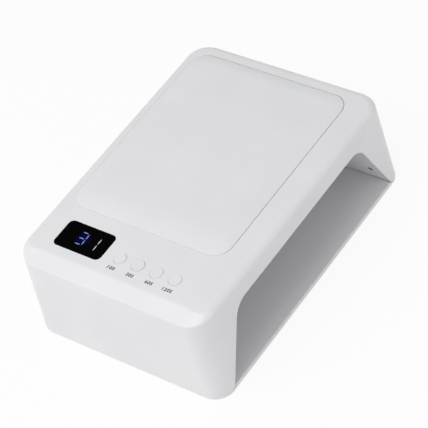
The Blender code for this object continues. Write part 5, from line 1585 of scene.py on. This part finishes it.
# Housing: one white ABS moulding with drafted walls, a broad bevel at the control end and round upper edges
# elsewhere. Screw posts and bosses stand inside it, and every opening has a softened lip.
ROOF = 3.0 * MM
FRONT_EDGE = 5.5 * MM
BACK_EDGE = 5.5 * MM
FAR_EDGE = 7.5 * MM
BEVEL_WIDTH = 14.0 * MM
BEVEL_HEIGHT = 7.2 * MM
BEVEL_CREASE = 1.8 * MM
BEVEL_SLOPE = math.radians(26.0)
EDGE_GUARD = 1.0 * MM
EDGE_RINGS = 24
INNER_RINGS = 12
OPENING_LIP = 0.8 * MM
PANEL_LIP = 0.25 * MM
POST_RADIUS = 3.5 * MM
NEAR_POST_DROP = 4.4 * MM
FAR_POST_DROP = 3.6 * MM
WINDOW_CORNER = 4.2 * MM
WINDOW_LEDGE = 2.2 * MM
REST_CORNER = 14.0 * MM
REST_NEAR_SEAM = 0.05 * MM
REST_BACK_SEAM = 0.15 * MM
REST_FRONT_SEAM = 0.4 * MM
REST_FAR_SEAM = 0.6 * MM
REST_SEAT_DEPTH = 1.2 * MM
BUTTON_RADIUS = 5.0 * MM
BUTTON_GAP = 0.35 * MM


def bevel_profile(share):
    """How far in and how far up the control end's bevel has come: a crease, a slope and a wide crown."""
    crease_turn = math.pi / 2 - BEVEL_SLOPE
    crease_in = BEVEL_CREASE * (1 - math.cos(crease_turn))
    crease_up = BEVEL_CREASE * math.sin(crease_turn)
    left_in = BEVEL_WIDTH - crease_in
    left_up = BEVEL_HEIGHT - crease_up
    drop = 1 - math.cos(BEVEL_SLOPE)
    crown = (math.sin(BEVEL_SLOPE) * left_in - math.cos(BEVEL_SLOPE) * left_up) / drop
    run = (left_up - crown * drop) / math.sin(BEVEL_SLOPE)
    if share <= 1 / 3:
        turn = crease_turn * share * 3
        return BEVEL_CREASE * (1 - math.cos(turn)), BEVEL_CREASE * math.sin(turn)
    if share <= 3 / 4:
        walked = run * (share - 1 / 3) / (3 / 4 - 1 / 3)
        return crease_in + walked * math.cos(BEVEL_SLOPE), crease_up + walked * math.sin(BEVEL_SLOPE)
    turn = BEVEL_SLOPE * (1 - share) * 4
    return BEVEL_WIDTH - crown * math.sin(turn), BEVEL_HEIGHT - crown * (1 - math.cos(turn))


def edge_place(share, wall, roof):
    """A ring of the housing's upper edge, or of its inner face behind a wall and a roof."""
    bevel_in, bevel_up = bevel_profile(share)
    turn = math.pi / 2 * share

    def place(home, out):
        bevel_share = max(0.0, -out.x) ** 2
        weights = (max(0.0, out.x) ** 2, max(0.0, -out.y) ** 2, max(0.0, out.y) ** 2)
        total = max(sum(weights), 1e-9)
        radius = (weights[0] * FAR_EDGE + weights[1] * FRONT_EDGE + weights[2] * BACK_EDGE) / total
        inward = bevel_share * bevel_in + (1 - bevel_share) * radius * (1 - math.cos(turn))
        down = bevel_share * (BEVEL_HEIGHT - bevel_up) + (1 - bevel_share) * radius * (1 - math.sin(turn))
        outer = TOP - down
        corner = corner_radius(outer)
        x = math.copysign(half_length(outer) - corner, home.x) + out.x * (corner - inward - wall)
        y = math.copysign(half_width(outer) - corner, home.y) + out.y * (corner - inward - wall)
        return Vector((x, y, outer - roof))

    return place


def guard_place(home, out):
    """A ring just inside the flat top, which keeps the flat shading flat."""
    point = edge_place(1.0, 0.0, 0.0)(home, out)
    return Vector((point.x - out.x * EDGE_GUARD, point.y - out.y * EDGE_GUARD, TOP))


bm = new_shape()
foot_ring = add_outline(bm, housing_plan, [BASE_CORNER] * 4, PLAN_AXIS, CORNER_SEGMENTS)
home_layer = bm.verts.layers.float_vector["home"]
out_layer = bm.verts.layers.float_vector["out"]
for point in bm.verts:
    point.co = wall_level(FOOT, 0.0)(point[home_layer], point[out_layer])
ring = foot_ring
for step in range(EDGE_RINGS + 1):
    ring = add_ring(bm, ring, edge_place(step / EDGE_RINGS, 0.0, 0.0))
ring = add_ring(bm, ring, guard_place)
bmesh.ops.edgeloop_fill(bm, edges=ring)
ring = add_ring(bm, foot_ring, wall_level(FOOT, WALL))
for step in range(INNER_RINGS + 1):
    ring = add_ring(bm, ring, edge_place(step / INNER_RINGS, WALL, ROOF))
bmesh.ops.edgeloop_fill(bm, edges=ring)
housing = make_piece("housing_moulding", bm, white_abs)

post_bottom = FLANGE_BOTTOM + CUP_HEIGHT + CLEARANCE
bm = bmesh.new()
for node in LINER_SCREWS:
    x, y = middle(node).xy
    post_top = TOP - (NEAR_POST_DROP if x < 0 else FAR_POST_DROP)
    add_turned(bm, cylinder_profile(POST_RADIUS, post_bottom, post_top), ROUND_SEGMENTS, at(x, y))
for node in CONTROL_SCREWS:
    x, y = middle(node).xy
    profile = cylinder_profile(BOSS_RADIUS, control_board_high.z + CLEARANCE, TOP - ROOF + MM)
    add_turned(bm, profile, ROUND_SEGMENTS, at(x, y))
for node in DRIVER_SCREWS:
    place = middle(node)
    reach = half_width(place.z) - WALL + MM
    profile = cylinder_profile(BOSS_RADIUS, driver_high.y + CLEARANCE, reach)
    add_turned(bm, profile, ROUND_SEGMENTS, backwards(place.x, 0.0, place.z))
combine(housing, bm, "UNION")

bm = bmesh.new()
for node in LINER_SCREWS:
    profile = cylinder_profile(SCREW_RADIUS + CLEARANCE, post_bottom - MM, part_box(node)[1].z + MM)
    add_turned(bm, profile, HOLE_SEGMENTS, at(middle(node).x, middle(node).y))
for node in CONTROL_SCREWS:
    low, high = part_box(node)
    profile = cylinder_profile(SCREW_RADIUS + CLEARANCE, low.z, high.z + CLEARANCE)
    add_turned(bm, profile, HOLE_SEGMENTS, at(middle(node).x, middle(node).y))
for node in DRIVER_SCREWS:
    low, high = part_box(node)
    profile = cylinder_profile(SCREW_RADIUS + CLEARANCE, low.y, high.y + CLEARANCE)
    add_turned(bm, profile, HOLE_SEGMENTS, backwards(middle(node).x, 0.0, middle(node).z))
combine(housing, bm, "DIFFERENCE")


def opening_lip(radius, steps=EDGE_STEPS):
    """Rings of the opening's cutter that leave a rounded lip on the front face."""
    turns = [LIP_TURN * (1 - step / steps) for step in range(steps + 1)]
    return [front_place(radius - radius * math.sin(turn), radius * (1 - math.cos(turn))) for turn in turns]


bm = new_shape()
places = [front_place(-OVERRUN, OPENING_LIP)] + opening_lip(OPENING_LIP)
places += [back_place(-half_width(CEILING) + WALL + OVERRUN, 0.0)]
section = arch_corners(FOOT - OVERRUN, 0.0)
add_solid(bm, section, [0, CAVITY_CORNER, CAVITY_CORNER, 0], FRONT_AXIS, places)
combine(housing, bm, "DIFFERENCE")

rest_low, rest_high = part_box("hand_rest")
window_low, window_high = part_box("display_window")
window_plan = rectangle(window_low.x, window_high.x, window_low.y, window_high.y)
bm = new_shape()
seat_x = (rest_low.x - REST_NEAR_SEAM, rest_high.x + REST_FAR_SEAM)
seat_y = (rest_low.y - REST_FRONT_SEAM, rest_high.y + REST_BACK_SEAM)
seat_plan = rectangle(*seat_x, *seat_y)
places = [level(TOP - REST_SEAT_DEPTH)] + flared_top(TOP, PANEL_LIP)
add_solid(bm, seat_plan, [REST_CORNER + REST_FRONT_SEAM] * 4, PLAN_AXIS, places)
places = [level(window_low.z - CLEARANCE, CLEARANCE)] + flared_top(TOP, PANEL_LIP, CLEARANCE)
add_solid(bm, window_plan, [WINDOW_CORNER] * 4, PLAN_AXIS, places)
for place in BUTTON_PLACES.values():
    radius = BUTTON_RADIUS + BUTTON_GAP
    profile = [(0.0, TOP - ROOF - MM), (radius, TOP - ROOF - MM)]
    profile += arc(radius + PANEL_LIP, TOP - PANEL_LIP, PANEL_LIP, 180, LIP_END)
    profile += [(radius + PANEL_LIP, TOP + MM), (0.0, TOP + MM)]
    add_turned(bm, profile, FOOT_SEGMENTS, at(*place))
inlet_back = half_width(inlet_z)
radius = INLET_BARREL + CLEARANCE
profile = [(0.0, inlet_low.y), (radius, inlet_low.y)]
profile += arc(radius + PANEL_LIP, inlet_back - PANEL_LIP, PANEL_LIP, 180, LIP_END)
profile += [(radius + PANEL_LIP, inlet_back + MM), (0.0, inlet_back + MM)]
add_turned(bm, profile, ROUND_SEGMENTS, backwards(inlet_x, 0.0, inlet_z))
combine(housing, bm, "DIFFERENCE")
bm = new_shape()
places = [level(TOP - ROOF - MM, -WINDOW_LEDGE), level(window_low.z, -WINDOW_LEDGE)]
add_solid(bm, window_plan, [WINDOW_CORNER] * 4, PLAN_AXIS, places)
combine(housing, bm, "DIFFERENCE")
smooth(housing)
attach(housing, "housing")
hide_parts("housing")

# Screws: pan-head thread-forming screws in plated steel with a cross recess. Four hold the liner and come up
# from under its flange, and eight hold the boards to their bosses.
SCREW_HEAD_EDGE = 0.9 * MM
SCREW_CORE = 1.0 * MM
SCREW_PITCH = 1.1 * MM
SCREW_POINT = 1.2 * MM
RECESS_DEPTH = 1.0 * MM
RECESS_REACH = 1.45 * MM
RECESS_WIDTH = 0.28 * MM
THREAD_STEPS = 20


def screw_mesh(name, length):
    """A screw along the local Z: its head seats at Z = 0 with the recess below, and its shank runs up."""
    profile = [(0.0, -SCREW_HEAD)]
    head_flat = SCREW_HEAD_RADIUS - SCREW_HEAD_EDGE
    profile += arc(head_flat, SCREW_HEAD_EDGE - SCREW_HEAD, SCREW_HEAD_EDGE, -90, 0)
    profile += [(SCREW_HEAD_RADIUS, 0.0), (SCREW_CORE, 0.0)]
    profile += [(SCREW_CORE, length - SCREW_POINT), (0.0, length)]
    bm = bmesh.new()
    add_turned(bm, profile, HOLE_SEGMENTS, Matrix())
    screw = make_piece(name, bm, plated_steel)
    bm = new_shape()
    cross = []
    for sign_x, sign_y in ((1, 1), (-1, 1), (-1, -1), (1, -1)):
        corner = [(sign_x * RECESS_REACH, sign_y * RECESS_WIDTH)]
        corner.append((sign_x * RECESS_WIDTH, sign_y * RECESS_WIDTH))
        corner += [(sign_x * RECESS_WIDTH, sign_y * RECESS_REACH)]
        cross += corner if sign_x * sign_y > 0 else corner[::-1]
    cross = [Vector((x, y, 0.0)) for x, y in cross]
    places = [level(-SCREW_HEAD - MM, 0.0), level(-SCREW_HEAD + RECESS_DEPTH, -RECESS_WIDTH / 3)]
    add_solid(bm, cross, [0] * len(cross), PLAN_AXIS, places)
    combine(screw, bm, "DIFFERENCE")
    turns = (length - SCREW_POINT - SCREW_PITCH) / SCREW_PITCH
    bm = bmesh.new()
    bm.from_mesh(screw.data)
    thread_root = SCREW_CORE - MM / 10
    ridge = ((thread_root, 0.0), (SCREW_RADIUS, SCREW_PITCH / 4), (thread_root, SCREW_PITCH / 2))
    corners = [bm.verts.new((x, 0.0, z)) for x, z in ridge]
    start = bm.faces.new(corners)
    steps = int(turns * THREAD_STEPS)
    bmesh.ops.spin(
        bm,
        geom=[start, *start.edges, *corners],
        cent=(0.0, 0.0, 0.0),
        axis=(0.0, 0.0, 1.0),
        dvec=(0.0, 0.0, SCREW_PITCH / THREAD_STEPS),
        angle=2 * math.pi * steps / THREAD_STEPS,
        steps=steps,
    )
    bmesh.ops.recalc_face_normals(bm, faces=bm.faces)
    bm.to_mesh(screw.data)
    bm.free()
    return screw


def add_screws(node, length, places):
    """A screw for each place, numbered as their nodes are."""
    first = screw_mesh(node + "_pattern", length)
    for number, place in enumerate(places, 1):
        mesh = first.data.copy()
        mesh.transform(place)
        screw = bpy.data.objects.new(f"pan_head_{node}_{number}", mesh)
        bpy.context.scene.collection.objects.link(screw)
        smooth(screw)
        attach(screw, "housing")
        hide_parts(f"{node}_{number}")
    bpy.data.objects.remove(first, do_unlink=True)


def screw_length(node, axis):
    """Length of a screw's shank, from the node's box."""
    low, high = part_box(node)
    return high[axis] - low[axis] - SCREW_HEAD


add_screws(
    "liner_screw",
    screw_length("liner_screw_1", 2),
    [at(*middle(node).xy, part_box(node)[0].z + SCREW_HEAD) for node in LINER_SCREWS],
)
add_screws(
    "control_board_screw",
    screw_length("control_board_screw_1", 2),
    [at(*middle(node).xy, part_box(node)[0].z + SCREW_HEAD) for node in CONTROL_SCREWS],
)
add_screws(
    "driver_board_screw",
    screw_length("driver_board_screw_1", 1),
    [backwards(middle(node).x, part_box(node)[0].y + SCREW_HEAD, middle(node).z) for node in DRIVER_SCREWS],
)
turned_down = Matrix.Rotation(math.pi, 4, "X")
add_screws(
    "led_board_screw",
    screw_length("led_board_screw_1", 2),
    [at(*middle(node).xy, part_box(node)[1].z - SCREW_HEAD) @ turned_down for node in BOARD_SCREWS],
)

# Display window: gloss smoked acrylic, let into the housing's frame flush with the top. Where the lit figure
# stands, its light spreads a little way through the acrylic as a deep blue haze.
WINDOW_EDGE = 0.25 * MM
SMOKE = (0.0005, 0.0005, 0.0007, 1.0)
SMOKE_DUST = (0.0012, 0.0012, 0.0014, 1.0)
SMOKE_SHINE = 0.01
SMOKE_GRAINS = 800.0
SMOKE_ROUGHNESS = 0.12
SMOKE_SPREAD = 0.04
HAZE_PLACE = (-92.6 * MM, 44.4 * MM)
HAZE_REACH = 8.5 * MM
HAZE_NONE = (0.0, 0.0, 0.0, 1.0)
HAZE_BLUE = (0.0, 0.0015, 0.060, 1.0)
smoked_acrylic = bpy.data.materials.new("smoked_acrylic")
smoked_acrylic.use_nodes = True
tree = smoked_acrylic.node_tree
shader = tree.nodes["Principled BSDF"]
shader.inputs["Specular IOR Level"].default_value = SMOKE_SHINE
shader.inputs["Emission Strength"].default_value = 1.0
surface = tree.nodes.new("ShaderNodeGroup")
surface.node_tree = moulded_grain
surface.inputs["Light Tone"].default_value = SMOKE
surface.inputs["Dark Tone"].default_value = SMOKE_DUST
surface.inputs["Grains per Metre"].default_value = SMOKE_GRAINS
surface.inputs["Roughness"].default_value = SMOKE_ROUGHNESS
surface.inputs["Roughness Spread"].default_value = SMOKE_SPREAD
wire(tree, surface, "Tone", shader, "Base Color")
wire(tree, surface, "Roughness", shader, "Roughness")
place = tree.nodes.new("ShaderNodeTexCoord")
haze_centre = tree.nodes.new("ShaderNodeVectorMath")
haze_centre.operation = "DISTANCE"
haze_centre.inputs[1].default_value = (*HAZE_PLACE, TOP)
wire(tree, place, "Object", haze_centre, 0)
haze = tree.nodes.new("ShaderNodeMapRange")
haze.interpolation_type = "SMOOTHERSTEP"
haze.inputs["From Min"].default_value = 0.0
haze.inputs["From Max"].default_value = HAZE_REACH
haze.inputs["To Min"].default_value = 1.0
haze.inputs["To Max"].default_value = 0.0
wire(tree, haze_centre, "Value", haze, "Value")
haze_tone = tree.nodes.new("ShaderNodeMix")
haze_tone.data_type = "RGBA"
haze_tone.inputs[6].default_value = HAZE_NONE
haze_tone.inputs[7].default_value = HAZE_BLUE
wire(tree, haze, "Result", haze_tone, "Factor")
wire(tree, haze_tone, 2, shader, "Emission Color")
bm = new_shape()
places = rounded_foot(window_low.z, WINDOW_EDGE, steps=3) + rounded_top(window_high.z, WINDOW_EDGE)
add_solid(bm, window_plan, [WINDOW_CORNER] * 4, PLAN_AXIS, places)
window = make_piece("smoked_window", bm, smoked_acrylic)
smooth(window)
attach(window, "housing")
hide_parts("display_window")

# Lit figures: the display's reading, a blue-white 3 in the middle place and a grey-white 1 in the last. Each
# stroke is a thin light guide with pointed ends, laid on the window.
STROKE = 0.95 * MM
FIGURE_WIDE = 7.2 * MM
THREE_PLACE = (-92.3 * MM, 46.3 * MM)
THREE_HIGH = 11.5 * MM
THREE_STROKE = 4.6 * MM
ONE_PLACE = (-92.8 * MM, 34.5 * MM)
ONE_HIGH = 12.8 * MM
ONE_STROKE = 5.3 * MM
STROKE_PROUD = 0.03 * MM
BLUE_WHITE = (0.19, 0.25, 0.53, 1.0)
GREY_WHITE = (0.46, 0.47, 0.51, 1.0)
UNLIT = (0.010, 0.010, 0.012, 1.0)
GUIDE_ROUGHNESS = 0.15
BARS = {
    "top": (1 / 2, 0, "across"),
    "middle": (0, 0, "across"),
    "bottom": (-1 / 2, 0, "across"),
    "upper_left": (1 / 4, 1 / 2, "along"),
    "lower_left": (-1 / 4, 1 / 2, "along"),
    "upper_right": (1 / 4, -1 / 2, "along"),
    "lower_right": (-1 / 4, -1 / 2, "along"),
}
THREE = ("top", "middle", "bottom", "upper_right", "lower_right")
ONE = ("upper_right", "lower_right")


def lit(name, tone, strength):
    """A light guide's plastic, lit from below."""
    material = bpy.data.materials.new(name)
    material.use_nodes = True
    shader = material.node_tree.nodes["Principled BSDF"]
    shader.inputs["Base Color"].default_value = UNLIT
    shader.inputs["Roughness"].default_value = GUIDE_ROUGHNESS
    shader.inputs["Emission Color"].default_value = tone
    shader.inputs["Emission Strength"].default_value = strength
    return material


def add_stroke(bm, x, y, length, turned):
    """One stroke of a figure: a six-sided disc drawn out into a bar with pointed ends."""
    disc = bmesh.ops.create_circle(bm, cap_ends=True, segments=6, radius=STROKE / 2)["verts"]
    turn = Matrix.Rotation(math.pi / 2, 4, "Z") if turned else Matrix()
    for point in disc:
        if abs(point.co.x) > STROKE / 100:
            point.co.x += math.copysign((length - STROKE) / 2, point.co.x)
    bmesh.ops.transform(bm, matrix=at(x, y, TOP) @ turn, verts=disc)
    face = next(face for face in bm.faces if disc[0] in face.verts)
    raised = bmesh.ops.extrude_face_region(bm, geom=[face])["geom"]
    raised = [part for part in raised if isinstance(part, bmesh.types.BMVert)]
    bmesh.ops.translate(bm, vec=(0.0, 0.0, STROKE_PROUD), verts=raised)


def add_figure(name, place, high, long, strokes, material):
    """One lit figure of the reading, from its strokes."""
    bm = bmesh.new()
    for stroke in strokes:
        up, left, run = BARS[stroke]
        add_stroke(bm, place[0] + up * high, place[1] + left * FIGURE_WIDE, long, run == "across")
    figure = make_piece(name, bm, material)
    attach(figure, "housing")


blue_white = lit("blue_white_light", BLUE_WHITE, strength=1.0)
grey_white = lit("grey_white_light", GREY_WHITE, strength=1.0)
add_figure("lit_figure_three", THREE_PLACE, THREE_HIGH, THREE_STROKE, THREE, blue_white)
add_figure("lit_figure_one", ONE_PLACE, ONE_HIGH, ONE_STROKE, ONE, grey_white)

# Buttons: four white ABS caps in a row beside the window, barely proud of the top. A flange under the roof
# keeps each cap in its hole, and a short stem below it presses the switch.
CAP_EDGE = 0.35 * MM
CAP_FLANGE = 1.2 * MM
CAP_FLANGE_THICKNESS = 1.2 * MM
STEM_RADIUS = 1.5 * MM
CAP_DISH = 0.12 * MM
CAP_GAP = 0.15 * MM
for time, (x, y) in BUTTON_PLACES.items():
    low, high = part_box("button_" + time)
    flange_top = TOP - ROOF - CLEARANCE
    radius = BUTTON_RADIUS + BUTTON_GAP - CAP_GAP
    flange = BUTTON_RADIUS + CAP_FLANGE
    profile = [(0.0, low.z), (STEM_RADIUS, low.z), (STEM_RADIUS, flange_top - CAP_FLANGE_THICKNESS)]
    profile += [(flange, flange_top - CAP_FLANGE_THICKNESS), (flange, flange_top), (radius, flange_top)]
    profile += arc(radius - CAP_EDGE, high.z - CAP_EDGE, CAP_EDGE, 0, 90)
    profile += [(radius / 2, high.z - CAP_DISH * 3 / 4), (0.0, high.z - CAP_DISH)]
    bm = bmesh.new()
    add_turned(bm, profile, FOOT_SEGMENTS, at(x, y))
    cap = make_piece("button_cap_" + time, bm, white_abs)
    smooth(cap)
    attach(cap, "button_" + time)
    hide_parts("button_" + time)

# Time labels: slanted figures that name each button's seconds, in dark grey ink. They are pad-printed on
# the housing between the buttons and the bevel.
INK_LIGHT = (0.026, 0.026, 0.028, 1.0)
INK_DARK = (0.018, 0.018, 0.020, 1.0)
LABEL_HIGH = 3.1 * MM
LABEL_SLANT = 0.12
LABEL_SPACING = 1.16
LABEL_THICK = 0.02 * MM
LABEL_X = -106.8 * MM
LABEL_WEIGHT = 0.034
LABEL_Y = {"10s": 7.3 * MM, "30s": -10.3 * MM, "60s": -28.0 * MM, "120s": -44.9 * MM}
LABEL_WIDE = {"10s": 6.9 * MM, "30s": 6.6 * MM, "60s": 6.8 * MM, "120s": 8.7 * MM}
printed_ink = moulded(
    "printed_ink", INK_LIGHT, INK_DARK, grains=4000.0, roughness=0.5, spread=0.1, bump=0.1
)
for time in TIMES:
    text = bpy.data.curves.new("label_" + time, "FONT")
    text.body = time.upper()
    text.shear = LABEL_SLANT
    text.space_character = LABEL_SPACING
    text.extrude = LABEL_WEIGHT
    text.offset = LABEL_WEIGHT
    line = bpy.data.objects.new("text", text)
    mesh = bpy.data.meshes.new_from_object(line)
    bpy.data.objects.remove(line, do_unlink=True)
    xs = [point.co.x for point in mesh.vertices]
    ys = [point.co.y for point in mesh.vertices]
    centred = at(-(min(xs) + max(xs)) / 2, -(min(ys) + max(ys)) / 2, LABEL_WEIGHT)
    wide = LABEL_WIDE[time] / (max(xs) - min(xs))
    high = LABEL_HIGH / (max(ys) - min(ys))
    sized = Matrix.Diagonal((wide, high, LABEL_THICK / (2 * LABEL_WEIGHT), 1.0))
    turned = Matrix.Rotation(-math.pi / 2, 4, "Z")
    mesh.transform(at(LABEL_X, LABEL_Y[time], TOP) @ turned @ sized @ centred)
    mesh.materials.clear()
    mesh.materials.append(printed_ink)
    label = bpy.data.objects.new("time_label_" + time, mesh)
    bpy.context.scene.collection.objects.link(label)
    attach(label, "housing")

# Hand rest: a low crowned cap in the housing's white ABS, clipped into a shallow seat in the top, so that a
# thin dark seam runs round it. The hand that waits its turn lies on it.
REST_INNER_CORNER = 5.0 * MM
REST_RIM_EDGE = 0.3 * MM
REST_ROLLS = {"near": 22.0 * MM, "far": 12.0 * MM, "front": 16.0 * MM, "back": 11.0 * MM}
REST_RIM = 0.2 * MM
REST_RINGS = 24
rest_rim = TOP + REST_RIM
rest_crown = rest_high.z - rest_rim


def rest_place(share):
    """A ring of the hand rest's crown, from its rim to its flat middle."""
    z = rest_rim + rest_crown * (1 - (1 - share) ** 2)
    corner = REST_CORNER - REST_RIM_EDGE + share * (REST_INNER_CORNER - REST_CORNER)

    def place(home, out):
        far = home.x > (rest_low.x + rest_high.x) / 2
        back = home.y > (rest_low.y + rest_high.y) / 2
        in_x = REST_RIM_EDGE + share * (REST_ROLLS["far" if far else "near"] - REST_RIM_EDGE)
        in_y = REST_RIM_EDGE + share * (REST_ROLLS["back" if back else "front"] - REST_RIM_EDGE)
        edge_x = rest_high.x - in_x - corner if far else rest_low.x + in_x + corner
        edge_y = rest_high.y - in_y - corner if back else rest_low.y + in_y + corner
        return Vector((edge_x + out.x * corner, edge_y + out.y * corner, z))

    return place


rest_plan = rectangle(rest_low.x, rest_high.x, rest_low.y, rest_high.y)
bm = new_shape()
places = rounded_foot(rest_low.z, REST_RIM_EDGE, steps=3) + rounded_top(rest_rim, REST_RIM_EDGE)[:-1]
places += [rest_place(step / REST_RINGS) for step in range(REST_RINGS + 1)]
add_solid(bm, rest_plan, [REST_CORNER] * 4, PLAN_AXIS, places)
hand_rest = make_piece("hand_rest_cap", bm, white_abs)
smooth(hand_rest)
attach(hand_rest, "housing")
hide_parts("hand_rest")
